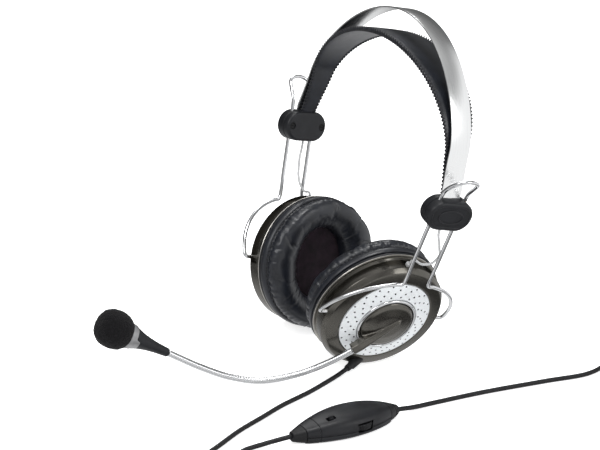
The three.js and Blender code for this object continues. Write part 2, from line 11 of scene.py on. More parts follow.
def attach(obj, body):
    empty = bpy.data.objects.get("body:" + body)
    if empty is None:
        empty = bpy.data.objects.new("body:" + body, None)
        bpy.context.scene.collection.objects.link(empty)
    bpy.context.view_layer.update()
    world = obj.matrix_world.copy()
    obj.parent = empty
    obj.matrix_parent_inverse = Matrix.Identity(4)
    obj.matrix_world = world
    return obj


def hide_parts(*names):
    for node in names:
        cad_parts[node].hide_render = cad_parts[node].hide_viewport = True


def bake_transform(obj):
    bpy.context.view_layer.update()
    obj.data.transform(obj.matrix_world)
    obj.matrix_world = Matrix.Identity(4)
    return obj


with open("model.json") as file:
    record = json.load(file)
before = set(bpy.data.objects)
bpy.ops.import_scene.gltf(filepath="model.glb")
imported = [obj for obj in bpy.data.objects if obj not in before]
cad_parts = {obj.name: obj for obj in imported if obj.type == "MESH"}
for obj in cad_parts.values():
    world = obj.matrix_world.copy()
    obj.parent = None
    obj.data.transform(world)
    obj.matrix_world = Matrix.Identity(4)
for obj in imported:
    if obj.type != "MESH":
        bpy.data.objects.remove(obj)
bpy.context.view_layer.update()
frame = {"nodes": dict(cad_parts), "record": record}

MM = 0.001
RECORD = frame["record"]
JOINTS = {joint["name"]: joint for joint in RECORD["behaviour"]["joints"]}
MOUNTS = {mount["name"]: mount for mount in RECORD["mounts"]}

# ---- driving sizes, millimetres
HEADBAND_PLACE = (0, 59, 37.66)
LEAN_BACK = 13
PIVOT_INSET = 18.1
PIVOT_DROP = 79.2
DRAWN_OUT = {"left": 3, "right": 0}

BLOCK_RISE = 74.7
BLOCK_HALF_SPAN = 74
BLOCK_WIDTH = 30
BLOCK_HEIGHT = 18.4
BLOCK_HALF_THICK = 5.8
BLOCK_SPLIT = -0.7
SCREW_HALF_SPACING = 11.3

ARCH_HALF_SPAN = 70.5
ARCH_RISE = 59.9
ARCH_SPRING = BLOCK_RISE + 37.6
BAND_HALF_WIDTH = 7.25
BAND_END_HALF_WIDTH = 6
BAND_HALF_THICK = 0.45
FOOT_OUTSET = 1.6
FLARE_POWER = 1.3
BAND_POWER = 1.39
BAND_FOOT = 5

STRAP_INSET = 3.1
STRAP_GAP = 15.8
STRAP_POWER = 1.15
STRAP_FOOT = 7
STRAP_END_HALF_WIDTH = 5.3
STRAP_WIDENING = 10.5
STRAP_FOOT_LENGTH = 29
STRAP_HIDDEN_LENGTH = 5
STRAP_ARCH_LENGTH = 95

WIRE_RADIUS = 1.15
LEG_HALF_SPACING = 8.5
LEG_OUTSET = 0.6
SHOULDER_DROP = 46

HUB_RADIUS = 16.6
BOOM_DROP = 45
NECK_RADIUS = 2

CORD_RADIUS = 1.4
TAIL_RADIUS = 1.3
SIGNAL_RADIUS = 0.75

# ---- camera, metres and millimetres of lens
CAMERA_AT = (1.0181, -0.6883, 0.6520)
CAMERA_RIGHT = (0.5472, 0.8340, 0.0715)
CAMERA_BACK = (0.7438, -0.5236, 0.4155)
CAMERA_LENS = 140.34
CAMERA_SENSOR = 36

# ---- routes of the boom and the cord, metres
NECK_ROUTE = [(0.04746, 0.03916, 0.02051), (0.0422, 0.0277, 0.0131), (0.0355, 0.0118, 0.0058),
              (0.0277, -0.0093, 0.0023), (0.022, -0.028, 0.0063), (0.0171, -0.0459, 0.0147),
              (0.0123, -0.065, 0.0259)]
CORD_ROUTE = [(0.0386, 0.0432, 0.0032), (0.0412, 0.0352, 0.0021), (0.0452, 0.0232, 0.0015),
              (0.0504, 0.0082, 0.0015), (0.0565, -0.0138, 0.0015), (0.0632, -0.0318, 0.0015),
              (0.0702, -0.0508, 0.0015), (0.078, -0.0673, 0.0015), (0.0865, -0.0838, 0.0015),
              (0.096, -0.0928, 0.0015), (0.106, -0.0898, 0.0015), (0.107, -0.0798, 0.0015),
              (0.097, -0.0718, 0.0015), (0.0904, -0.0618, 0.0015), (0.0906, -0.0478, 0.0026),
              (0.0929, -0.0333, 0.0044)]
THROUGH_CONTROLLER = [(0.0936, -0.016, 0.0046), (0.0936, 0.004, 0.0046), (0.0936, 0.024, 0.0046)]
LEAD_ROUTE = [(0.0942, 0.0413, 0.0044), (0.093, 0.0522, 0.0024), (0.0926, 0.0662, 0.0015),
              (0.0952, 0.1022, 0.0015), (0.1006, 0.1442, 0.0015), (0.1045, 0.1742, 0.0015),
              (0.1, 0.1902, 0.0015), (0.0904, 0.2015, 0.0015), (0.0864, 0.2126, 0.0015)]
EXIT_ROUTE = [(0.1098, 0.2486, 0.009), (0.1208, 0.248, 0.0052), (0.132, 0.252, 0.0023),
              (0.142, 0.2605, 0.0015), (0.151, 0.2646, 0.0015), (0.157, 0.2605, 0.0015),
              (0.158, 0.2516, 0.0016)]
COIL_AT = (0.106, 0.2253)
COIL_INNER = 0.0102
COIL_PITCH = 0.00284
COIL_LAYERS = 4
COIL_TURNS = 13
SPLITTER_AT = (0.158, 0.244)
SPLITTER_HALF_LENGTH = 0.007
TAIL_SHAPE = [(0.0024, 0, 0.002), (0.003, 0.012, 0.0015), (0.0052, 0.027, 0.0016),
              (0.0062, 0.04, 0.0042)]


# ---- paths and frames
def unit(t):
    """The nearest number from 0 to 1."""
    return max(0, min(1, t))


def angles(count):
    return [math.tau * i / count for i in range(count)]


METRES = Matrix.Scale(MM, 4)


def place_of(origin, *axes):
    """A frame in millimetres at a point given in metres."""
    turn = Matrix([Vector(axis) for axis in axes]).transposed().to_4x4()
    return Matrix.Translation(origin) @ turn @ METRES


def around(x, radius, angle):
    """A point that far from the X axis."""
    return x, radius * math.cos(angle), radius * math.sin(angle)


def between(a, b, start, end, t):
    """On the line from a, at start, to b, at end."""
    return a * ((end - t) / (end - start)) + b * ((t - start) / (end - start))


def through(points, steps):
    """A smooth path through the points: a centripetal Catmull-Rom spline."""
    knots = [Vector(p) for p in points]
    ends = [knots[0] * 2 - knots[1], *knots, knots[-1] * 2 - knots[-2]]
    path = []
    for a, b, c, d in zip(ends, ends[1:], ends[2:], ends[3:]):
        t1 = (b - a).length ** 0.5
        t2 = t1 + (c - b).length ** 0.5
        t3 = t2 + (d - c).length ** 0.5
        for i in range(steps):
            t = t1 + (t2 - t1) * i / steps
            ab, bc, cd = between(a, b, 0, t1, t), between(b, c, t1, t2, t), between(c, d, t2, t3, t)
            path.append(between(between(ab, bc, 0, t2, t), between(bc, cd, t1, t3, t), t1, t2, t))
    return [*path, knots[-1]]


# ---- camera
def added(name, data):
    """A new object in the scene."""
    obj = bpy.data.objects.new(name, data)
    bpy.context.collection.objects.link(obj)
    return obj


def make_camera():
    camera = added("camera", bpy.data.cameras.new("camera"))
    right, back = Vector(CAMERA_RIGHT).normalized(), Vector(CAMERA_BACK).normalized()
    up = back.cross(right).normalized()
    turn = Matrix([right, up, back]).transposed().to_4x4()
    camera.matrix_world = Matrix.Translation(CAMERA_AT) @ turn
    camera.data.sensor_width = CAMERA_SENSOR
    camera.data.lens = CAMERA_LENS
    camera.data.clip_start = 0.05
    camera.data.clip_end = 20
    bpy.context.scene.camera = camera


# ---- cord
def cord_curve(name, path, radius):
    curve = bpy.data.curves.new(name, "CURVE")
    curve.dimensions = "3D"
    curve.bevel_depth = radius
    curve.bevel_resolution = 4
    curve.use_fill_caps = True
    spline = curve.splines.new("POLY")
    spline.points.add(len(path) - 1)
    for point, place in zip(spline.points, path):
        point.co = (*place, 1)
    spline.use_smooth = True
    curve.materials.append(RUBBER.material)
    return added(name, curve)


def coil_turns():
    """Flat layers, in towards the middle and out again by turns, each lying on the one before."""
    start = Vector((LEAD_ROUTE[-1][0] - COIL_AT[0], LEAD_ROUTE[-1][1] - COIL_AT[1]))
    end = Vector((EXIT_ROUTE[0][0] - COIL_AT[0], EXIT_ROUTE[0][1] - COIL_AT[1]))
    first = math.atan2(start.y, start.x)
    part_turn = (first - math.atan2(end.y, end.x)) % math.tau / math.tau
    turns = COIL_TURNS + part_turn
    in_layer = turns / COIL_LAYERS
    outer = COIL_INNER + in_layer * COIL_PITCH
    step = 2 * CORD_RADIUS * MM
    floor = CORD_RADIUS * MM + 0.0001
    top = floor + step * (COIL_LAYERS - 1)
    climb, ease = 0.13, 0.22
    path = []
    count = int(turns * 40)
    for i in range(1, count):
        u = turns * i / count
        layer = int(u / in_layer)
        wound = u - layer * in_layer
        radius = COIL_INNER + COIL_PITCH * (wound if layer % 2 else in_layer - wound)
        rise = min(1, wound / climb) if layer else 1
        height = floor + step * (layer - 1 + rise * rise * (3 - 2 * rise))
        radius += (start.length - outer) * max(0, 1 - u / ease) ** 2
        leaving = max(0, 1 - (turns - u) / ease) ** 2
        radius += (end.length - outer) * leaving
        height += (EXIT_ROUTE[0][2] - top) * leaving
        angle = first - u * math.tau
        path.append(Vector((COIL_AT[0] + radius * math.cos(angle),
                            COIL_AT[1] + radius * math.sin(angle), height)))
    return path


def main_cord():
    lead_in = through([*CORD_ROUTE, *THROUGH_CONTROLLER, *LEAD_ROUTE], 6)
    return [*lead_in, *coil_turns(), *through(EXIT_ROUTE, 6)]


def tail_path(sign):
    x, y = SPLITTER_AT
    return through([(x + sign * across, y - SPLITTER_HALF_LENGTH - 0.0003 - along, height)
                    for across, along, height in TAIL_SHAPE], 8)


# ---- looks
def add_node(tree, kind, settings=None, **inputs):
    """A new node. Each input is a value, or the socket that feeds it."""
    node = tree.nodes.new(kind)
    for key, value in (settings or {}).items():
        setattr(node, key, value)
    for key, value in inputs.items():
        socket = node.inputs[key.replace("_", " ")]
        if isinstance(value, bpy.types.NodeSocket):
            tree.links.new(value, socket)
        else:
            socket.default_value = value
    return node


class Look:
    """A procedural material and its slot. Its textures read the piece's own coordinates, in metres."""

    def __init__(self, name, slot, color, roughness, metallic=0.0, **sockets):
        self.slot = slot
        self.material = bpy.data.materials.new(name)
        self.material.use_nodes = True
        self.tree = self.material.node_tree
        self.shader = self.tree.nodes["Principled BSDF"]
        sockets.update(Base_Color=(*color, 1), Roughness=roughness, Metallic=metallic)
        for socket, value in sockets.items():
            self.shader.inputs[socket.replace("_", " ")].default_value = value
        self.color = color
        self.roughness = roughness
        self.height = None
        self.place = self.add("ShaderNodeTexCoord").outputs["Object"]

    def add(self, kind, settings=None, **inputs):
        return add_node(self.tree, kind, settings, **inputs)

    def feed(self, output, socket):
        self.tree.links.new(output, self.shader.inputs[socket])
        return self

    def noise(self, scale, detail=3.0, where=None):
        node = self.add("ShaderNodeTexNoise", Vector=where or self.place, Scale=scale, Detail=detail)
        return node.outputs["Fac"]

    def cells(self, scale, feature="F1"):
        node = self.add("ShaderNodeTexVoronoi", {"feature": feature}, Vector=self.place, Scale=scale)
        return node.outputs["Distance"]

    def weave(self, scale, direction):
        node = self.add("ShaderNodeTexWave", {"bands_direction": direction}, Vector=self.place,
                        Scale=scale, Distortion=0.4)
        return node.outputs["Fac"]

    def texture(self, source):
        """A texture that is there already, or noise of that scale."""
        return source if isinstance(source, bpy.types.NodeSocket) else self.noise(source)

    def tint(self, source, amount, start=0.3, end=0.7):
        """The base colour varies either way by that share."""
        node = self.add("ShaderNodeValToRGB", Fac=self.texture(source))
        for stop, position, share in zip(node.color_ramp.elements, (start, end), (-amount, amount)):
            stop.position = position
            stop.color = (*[min(1, c * (1 + share)) for c in self.color], 1)
        return self.feed(node.outputs["Color"], "Base Color")

    def gloss(self, source, amount):
        node = self.add("ShaderNodeMapRange", Value=self.texture(source),
                        To_Min=max(0, self.roughness - amount), To_Max=min(1, self.roughness + amount))
        return self.feed(node.outputs["Result"], "Roughness")

    def bump(self, source, strength, depth):
        node = self.add("ShaderNodeBump", Height=self.texture(source), Strength=strength,
                        Distance=depth)
        if self.height:
            self.tree.links.new(self.height, node.inputs["Normal"])
        self.height = node.outputs["Normal"]
        return self.feed(self.height, "Normal")


def steel_look():
    """Brushed along the band, whose UV map runs round the arch."""
    look = Look("brushed_steel", "spring_steel", (0.9, 0.905, 0.9), 0.24, 1.0, Anisotropic=0.3)
    grain = look.add("ShaderNodeUVMap").outputs[0]
    lines = look.add("ShaderNodeMapping", Vector=grain, Scale=(1.2, 260, 1)).outputs[0]
    streaks = look.noise(2.2, 6.0, lines)
    return look.tint(streaks, 0.08).gloss(streaks, 0.05).bump(streaks, 0.06, 0.00003)


def chrome_look(name, color, roughness, scale, amount):
    look = Look(name, "chrome_wire", color, roughness, 1.0)
    smudge = look.noise(scale, 2.0)
    return look.tint(smudge, amount).gloss(smudge, 0.02)


STEEL = steel_look()
CHROME = chrome_look("chrome", (0.73, 0.735, 0.745), 0.11, 40, 0.04)
RIBBED = chrome_look("gooseneck_chrome", (0.75, 0.755, 0.765), 0.16, 60, 0.05)

LEATHER = Look("leatherette", "leatherette", (0.0075, 0.009, 0.0135), 0.36, Coat_Weight=0.2,
               Coat_Roughness=0.3)
LEATHER.tint(140, 0.35).gloss(420, 0.08)
LEATHER.bump(LEATHER.cells(1500, "DISTANCE_TO_EDGE"), 0.35, 0.00012).bump(3200, 0.2, 0.00006)
THREAD = Look("thread", "leatherette", (0.014, 0.0145, 0.017), 0.5, Specular_IOR_Level=0.35)
THREAD.tint(900, 0.4).bump(5200, 0.4, 0.00008)

GUNMETAL = Look("gunmetal", "gunmetal", (0.118, 0.112, 0.099), 0.22, 0.95, Coat_Weight=0.15,
                Coat_Roughness=0.12)
GUNMETAL.tint(GUNMETAL.noise(5200, 1.0), 0.16).gloss(160, 0.05)
GUNMETAL.bump(GUNMETAL.noise(5200, 1.0), 0.08, 0.00003)
# A lighter copy of the gunmetal for the thin ring at the baffle's edge: a painted highlight, so the edge
# shows as a bright line.
HIGHLIGHT_RIM = Look("painted_highlight_rim", "gunmetal", (0.6, 0.58, 0.54), 0.3, 0.95).tint(200, 0.06).gloss(300, 0.04)
SILVER = Look("silver_paint", "silver_paint", (0.72, 0.745, 0.76), 0.42, 0.3)
FLAKES = SILVER.noise(2600, 1.0)
SILVER.tint(FLAKES, 0.06, 0.38, 0.62).gloss(FLAKES, 0.05).bump(FLAKES, 0.05, 0.00003)
SATIN = Look("satin_ring", "silver_paint", (0.3, 0.3, 0.305), 0.38, 0.7)
SATIN.tint(600, 0.1).gloss(300, 0.06).bump(2600, 0.05, 0.00003)
GOLD = Look("gold_plate", "gold_plate", (0.83, 0.6, 0.27), 0.2, 1.0).tint(300, 0.08).gloss(700, 0.07)

PLASTIC = Look("black_plastic", "black_plastic", (0.008, 0.0085, 0.0105), 0.4,
               Specular_IOR_Level=0.32)
PLASTIC.tint(120, 0.25).gloss(380, 0.06).bump(4200, 0.22, 0.00005)
RUBBER = Look("black_rubber", "black_rubber", (0.0065, 0.0065, 0.0075), 0.48,
              Specular_IOR_Level=0.3)
RUBBER.tint(110, 0.3).gloss(500, 0.08).bump(3600, 0.2, 0.00005)
LEAD = Look("grey_lead", "grey_lead", (0.45, 0.455, 0.46), 0.38, Coat_Weight=0.2)
LEAD.tint(260, 0.1).gloss(500, 0.08)
BOARD = Look("circuit_board", "board", (0.02, 0.12, 0.04), 0.4, Coat_Weight=0.3)
BOARD.tint(BOARD.noise(420, 1.0), 0.5).bump(BOARD.cells(500), 0.2, 0.0001)
# A near-black material: painted shade on the walls and floors of the speaker ring's holes. It is also
# given to the block screws and the slider's bed.
BLACK_AND_HOLE_SHADE = Look("black_and_painted_hole_shade", "black_plastic", (0.004, 0.004, 0.0045), 0.85).tint(900, 0.3)

FOAM = Look("foam", "foam", (0.0035, 0.0032, 0.004), 0.97, Sheen_Weight=0.03,
            Specular_IOR_Level=0.25)
FOAM.tint(900, 0.5).bump(FOAM.cells(1250), 0.9, 0.0005).bump(2600, 0.5, 0.0003)
CLOTH = Look("cloth", "cloth", (0.014, 0.007, 0.012), 0.95, Sheen_Weight=0.1,
             Specular_IOR_Level=0.2)
CLOTH.tint(160, 0.5).bump(CLOTH.weave(520, "Y"), 0.5, 0.0002).bump(CLOTH.weave(520, "Z"), 0.5, 0.0002)


# ---- shapes: lists of points and faces
def skinned(rows, loop=False):
    """A skin over rows of points, each row a closed ring, with flat ends unless the rows loop."""
    n = len(rows[0])
    last = len(rows) - 1
    faces = []
    for i in range(last + 1 if loop else last):
        a, b = i * n, (i + 1) % len(rows) * n
        for j in range(n):
            k = (j + 1) % n
            faces.append((a + j, a + k, b + k, b + j))
    if not loop:
        faces.append(tuple(range(n - 1, -1, -1)))
        faces.append(tuple(range(last * n, last * n + n)))
    return [p for row in rows for p in row], faces


def joined(*shapes):
    points, faces = [], []
    for more_points, more_faces in shapes:
        start = len(points)
        points.extend(more_points)
        faces.extend(tuple(start + i for i in face) for face in more_faces)
    return points, faces


def soften(outline, reach, closed=False, steps=4):
    """The outline with each corner rounded off."""
    corners = [Vector(p) for p in outline]
    result = []
    for i, corner in enumerate(corners):
        if not closed and i in (0, len(corners) - 1):
            result.append(corner)
            continue
        before = corners[i - 1] - corner
        after = corners[(i + 1) % len(corners)] - corner
        a = corner + before.normalized() * min(reach, 0.45 * before.length)
        b = corner + after.normalized() * min(reach, 0.45 * after.length)
        for k in range(steps + 1):
            t = k / steps
            result.append(a * (1 - t) ** 2 + corner * (2 * t * (1 - t)) + b * t ** 2)
    return result


def lathe(profile, segments=96):
    """Turned about X from (radius, x) points that end on the axis or close on themselves."""
    points, rings, faces = [], [], []
    for radius, x in profile:
        count = segments if radius > 0 else 1
        rings.append(range(len(points), len(points) + count))
        points += [around(x, radius, math.tau * i / segments) for i in range(count)]
    pairs = list(zip(rings, rings[1:]))
    if profile[0][0] > 0:
        pairs.append((rings[-1], rings[0]))
    for a, b in pairs:
        for i in range(segments):
            j = (i + 1) % segments
            if len(a) == 1:
                faces.append((a[0], b[j], b[i]))
            elif len(b) == 1:
                faces.append((a[i], a[j], b[0]))
            else:
                faces.append((a[i], a[j], b[j], b[i]))
    return points, faces


def swept(path, radius, sides=12):
    """A round tube along a path. Its radius is a number, or a function of 0 to 1 along it."""
    path = [Vector(p) for p in path]
    last = len(path) - 1
    across = (path[1] - path[0]).orthogonal()
    rows = []
    for i, point in enumerate(path):
        along = (path[min(i + 1, last)] - path[max(i - 1, 0)]).normalized()
        across = (across - along * across.dot(along)).normalized()
        up = along.cross(across)
        size = radius(i / last) if callable(radius) else radius
        rows.append([point + (across * math.cos(a) + up * math.sin(a)) * size
                     for a in angles(sides)])
    return skinned(rows)


def rod(start, end, radius, sides=12):
    return swept([start, end], radius, sides)


def block_of(low, high):
    (x0, y0, z0), (x1, y1, z1) = low, high
    return skinned([[(x, y0, z0), (x, y1, z0), (x, y1, z1), (x, y0, z1)] for x in (x0, x1)])


def pill_ring(width, height, inset, x, arc=14):
    """A pill-shaped ring in a YZ plane."""
    radius = height / 2 - inset
    half = (width - height) / 2
    ring = []
    for side, start in ((1, -90), (-1, 90)):
        for i in range(arc + 1):
            angle = math.radians(start + 180 * i / arc)
            ring.append((x, side * half + radius * math.cos(angle), radius * math.sin(angle)))
    return ring


def squarish(half_width, half_height, power, count):
    """A ring between an ellipse, at power 1, and a rectangle, at power 0."""
    ring = []
    for angle in angles(count):
        c, s = math.cos(angle), math.sin(angle)
        ring.append((math.copysign(abs(c) ** power, c) * half_width,
                     math.copysign(abs(s) ** power, s) * half_height))
    return ring


# ---- pieces
EDGE_ANGLE = 38


def closed_mesh(name, points, faces):
    """A mesh whose faces all look outwards."""
    mesh = bpy.data.meshes.new(name)
    mesh.from_pydata(points, [], faces)
    tidy = bmesh.new()
    tidy.from_mesh(mesh)
    bmesh.ops.recalc_face_normals(tidy, faces=tidy.faces)
    tidy.to_mesh(mesh)
    tidy.free()
    return mesh


def make(name, shape, look, body, place=None, replaces=(), sharp=EDGE_ANGLE):
    points, faces = shape
    mesh = closed_mesh(name, [place @ Vector(p) if place else Vector(p) for p in points], faces)
    mesh.shade_smooth()
    mesh.set_sharp_from_angle(angle=math.radians(sharp))
    mesh.materials.append(look.material)
    obj = added(name, mesh)
    finish_piece(obj, body, replaces)
    return obj


def finish_piece(obj, body, replaces=()):
    if replaces:
        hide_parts(*replaces)
    if body:
        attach(obj, body)


def settle(obj):
    """Applies a piece's modifiers."""
    graph = bpy.context.evaluated_depsgraph_get()
    mesh = bpy.data.meshes.new_from_object(obj.evaluated_get(graph))
    old = obj.data
    obj.modifiers.clear()
    obj.data = mesh
    bpy.data.meshes.remove(old)
    obj.data.name = obj.name


def carve(obj, shape, place):
    """Cuts a shape out of a piece."""
    points, faces = shape
    mesh = closed_mesh("cutter", [place @ Vector(p) for p in points], faces)
    cutter = added("cutter", mesh)
    step = obj.modifiers.new("carve", "BOOLEAN")
    step.operation = "DIFFERENCE"
    step.solver = "EXACT"
    step.object = cutter
    settle(obj)
    bpy.data.objects.remove(cutter)
    bpy.data.meshes.remove(mesh)
    obj.data.set_sharp_from_angle(angle=math.radians(EDGE_ANGLE))


def fuse(obj, voxel, rounds):
    """Melts a piece's overlapping shapes into one smooth skin."""
    melt = obj.modifiers.new("melt", "REMESH")
    melt.mode = "VOXEL"
    melt.voxel_size = voxel * MM
    melt.use_smooth_shade = True
    soft = obj.modifiers.new("soft", "SMOOTH")
    soft.iterations = rounds
    soft.factor = 0.5
    settle(obj)


def divide(obj):
    fine = obj.modifiers.new("fine", "SUBSURF")
    fine.levels = fine.render_levels = 1


def bevel(obj, width, segments):
    edge = obj.modifiers.new("edge", "BEVEL")
    edge.width = width * MM
    edge.segments = segments
    edge.limit_method = "ANGLE"
    edge.angle_limit = math.radians(40)


def dress(node, look):
    """Gives a CAD node that stays its material."""
    obj = frame["nodes"][node]
    obj.data.materials.clear()
    obj.data.materials.append(look.material)


# ---- places
def side_places(side):
    """The cup's, the yoke's and the clamp block's own frames on one side, in millimetres."""
    tilt = JOINTS[{"left": "left_yoke_tilt", "right": "right_cup_tilt"}[side]]
    slide = JOINTS[f"{side}_size_slide"]
    pivot, y_axis = Vector(tilt["pos_m"]), Vector(tilt["axis"]).normalized()
    outward = -Vector(MOUNTS[f"{side}_ear_face"]["axis"]).normalized()
    cup = place_of(pivot, outward, y_axis, outward.cross(y_axis))
    z_axis = Vector(slide["axis"]).normalized()
    x_axis = y_axis.cross(z_axis)
    middle = pivot + (x_axis * PIVOT_INSET + z_axis * PIVOT_DROP) * MM
    yoke = place_of(middle, x_axis, y_axis, z_axis)
    return cup, yoke, yoke @ Matrix.Translation((0, 0, DRAWN_OUT[side]))


def headband_place():
    lean = Matrix.Rotation(-math.radians(LEAN_BACK), 4, "X")
    return Matrix.Translation(Vector(HEADBAND_PLACE) * MM) @ lean @ METRES


# ---- headband
FOOT_STEPS = 8
ARCH_STEPS = 26


def arch_path(inset, crown_gap, power, foot_rise):
    """Points up one side of the arch and down the other: x, z, how far up the bend and down the foot."""
    halves = []
    for side in ("right", "left"):
        foot = ARCH_SPRING - BLOCK_RISE - DRAWN_OUT[side] - foot_rise
        half = []
        for i in range(FOOT_STEPS + 1):
            down = 1 - i / FOOT_STEPS
            flare = (BLOCK_HALF_SPAN + FOOT_OUTSET - ARCH_HALF_SPAN) * down ** FLARE_POWER
            half.append((ARCH_HALF_SPAN - inset + flare, ARCH_SPRING - foot * down, 0, down))
        for i in range(1, ARCH_STEPS + 1):
            angle = math.pi / 2 * (1 - i / ARCH_STEPS)
            x = (ARCH_HALF_SPAN - inset) * math.sin(angle)
            z = ARCH_SPRING + (ARCH_RISE - crown_gap) * max(0, math.cos(angle)) ** power
            half.append((x, z, i / ARCH_STEPS, 0))
        halves.append(half)
    right, left = halves
    return [(-x, z, bend, down) for x, z, bend, down in right[:-1]] + left[::-1]


def along_arch(stations, section):
    """Rows of a strip along the arch. A section takes (bend, down) and gives (across, out) points."""
    rows = []
    last = len(stations) - 1
    for i, (x, z, bend, down) in enumerate(stations):
        before, after = stations[max(i - 1, 0)], stations[min(i + 1, last)]
        along = Vector((after[0] - before[0], after[1] - before[1])).normalized()
        out = Vector((-along.y, along.x))
        rows.append([Vector((x + out.x * t, y, z + out.y * t)) for y, t in section(bend, down)])
    return rows


def band_section(bend, down):
    """A flat strip, a little narrower where the block holds it."""
    half = BAND_END_HALF_WIDTH if down > 0.8 else BAND_HALF_WIDTH
    t = BAND_HALF_THICK
    corners = [(-half, -t), (half, -t), (half, t), (-half, t)]
    return [tuple(p) for p in soften(corners, 0.25, True, 2)]


def spring_band(place):
    """The steel band. Its UV map is the angle round the arch and the place across it, for the grain."""
    rows = along_arch(arch_path(0, 0, BAND_POWER, BAND_FOOT), band_section)
    band = make("steel_band", skinned(rows), STEEL, "headband", place, ["spring_band"])
    mesh = band.data
    grain = mesh.uv_layers.new(name="grain")
    inverse = place.inverted()
    for loop in mesh.loops:
        point = inverse @ mesh.vertices[loop.vertex_index].co
        grain.data[loop.index].uv = (math.atan2(point.x, point.z - BLOCK_RISE), point.y / 40)


def strap_size(bend, down):
    """Half the strap's width, which grows smoothly from feet to crown, and half its thickness."""
    in_sight = STRAP_FOOT_LENGTH - STRAP_HIDDEN_LENGTH + STRAP_ARCH_LENGTH
    climbed = max(0, STRAP_FOOT_LENGTH * (1 - down) - STRAP_HIDDEN_LENGTH) + STRAP_ARCH_LENGTH * bend
    widening = math.sin(math.pi / 2 * climbed / in_sight) ** 1.3
    return STRAP_END_HALF_WIDTH + STRAP_WIDENING * widening, 0.9 + 1.1 * bend


def strap_section(bend, down):
    """A padded strip: full in the middle, thin at its two sewn edges."""
    half, thick = strap_size(bend, down)
    edge = [(1, 0.32), (0.97, 0.42), (0.9, 0.5), (0.8, 0.78), (0.6, 0.95), (0.3, 1.0), (0, 1.0)]
    upper = [(-a, f) for a, f in edge] + edge[-2::-1]
    outer = [(a * half, f * thick) for a, f in upper]
    inner = [(a * half, -f * thick) for a, f in upper]
    return inner + outer[::-1]


def padded_strap(place):
    stations = arch_path(STRAP_INSET, STRAP_GAP, STRAP_POWER, STRAP_FOOT)
    wrinkled = []
    for row, (_, _, bend, _) in zip(along_arch(stations, strap_section), stations):
        middle = sum(row, Vector()) / len(row)
        moved = []
        for p in row:
            ripple = noise.noise(Vector((p.x * 0.11, p.y * 0.3, p.z * 0.11))) * 0.22 * bend
            moved.append(p + (p - middle).normalized() * ripple)
        wrinkled.append(moved)
    strap = make("padded_strap", skinned(wrinkled), LEATHER, "headband", place,
                 ["headband_strap"], 60)
    divide(strap)
    for name, sign in (("front", -1), ("rear", 1)):
        strap_stitching(place, stations, name, sign)


def strap_stitching(place, stations, name, sign):
    """Thread whipped round one edge of the strap."""
    pitch, steps, inset, half_height = 2.2, 5, 0.35, 0.42
    edge = along_arch(stations, lambda bend, down: [(sign * (strap_size(bend, down)[0] - inset), 0)])
    edge = through([row[0] for row in edge], 8)
    travelled, coil = 0, []
    for a, b in zip(edge, edge[1:]):
        length = (b - a).length
        along = (b - a).normalized()
        out = Vector((0, sign, 0))
        up = along.cross(out).normalized()
        reach = 0.8 + 0.45 * unit((a.z - ARCH_SPRING) / (ARCH_RISE - STRAP_GAP))
        for i in range(steps):
            angle = (travelled + length * i / steps) / pitch * math.tau
            spot = a.lerp(b, i / steps)
            coil.append(spot + out * (half_height * math.cos(angle)) + up * (reach * math.sin(angle)))
        travelled += length
    make(f"strap_stitching_{name}", swept(coil, 0.44, 8), THREAD, "headband", place, sharp=180)


# ---- clamp blocks and yokes
def clamp_block(side, place):
    """Two moulded halves either side of the split: the outer has a raised oval, the inner two holes."""
    thick, split = BLOCK_HALF_THICK, BLOCK_SPLIT
    outer_rows = [(0.35, split + 0.12), (0, split + 0.45), (0, thick - 1.5), (0.35, thick - 0.7),
                  (0.95, thick - 0.15), (1.5, thick), (2.3, thick), (2.7, thick - 0.4)]
    inner_rows = [(1.9, -thick), (1.2, -thick), (0.45, -thick + 0.55), (0.1, -thick + 1.3),
                  (0, -thick + 1.8), (0, split - 0.45), (0.35, split - 0.12)]
    outer, inner = (skinned([pill_ring(BLOCK_WIDTH, BLOCK_HEIGHT, inset, x) for inset, x in rows])
                    for rows in (outer_rows, inner_rows))
    oval = [(thick - 0.42, 8.2 * math.cos(a), 4.3 * math.sin(a)) for a in [*angles(48), math.tau]]
    make(f"{side}_block_outer", joined(outer, swept(oval, 0.42, 8)), PLASTIC, "headband", place,
         [f"{side}_block_outer_cover"])
    inner = make(f"{side}_block_inner", inner, PLASTIC, "headband", place,
                 [f"{side}_block_inner_cover"])
    holes = [rod((-thick - 1, y, 0), (-thick + 1.9, y, 0), 2.2, 20)
             for y in (-SCREW_HALF_SPACING, SCREW_HALF_SPACING)]
    carve(inner, joined(*holes), place)
    for end in ("front", "rear"):
        dress(f"{side}_block_screw_{end}", BLACK_AND_HOLE_SHADE)
    dress(f"{side}_clamp_spring", STEEL)


ARM_REACH = 43.5
ARM_RISE = 38.6
PIN_END = 35


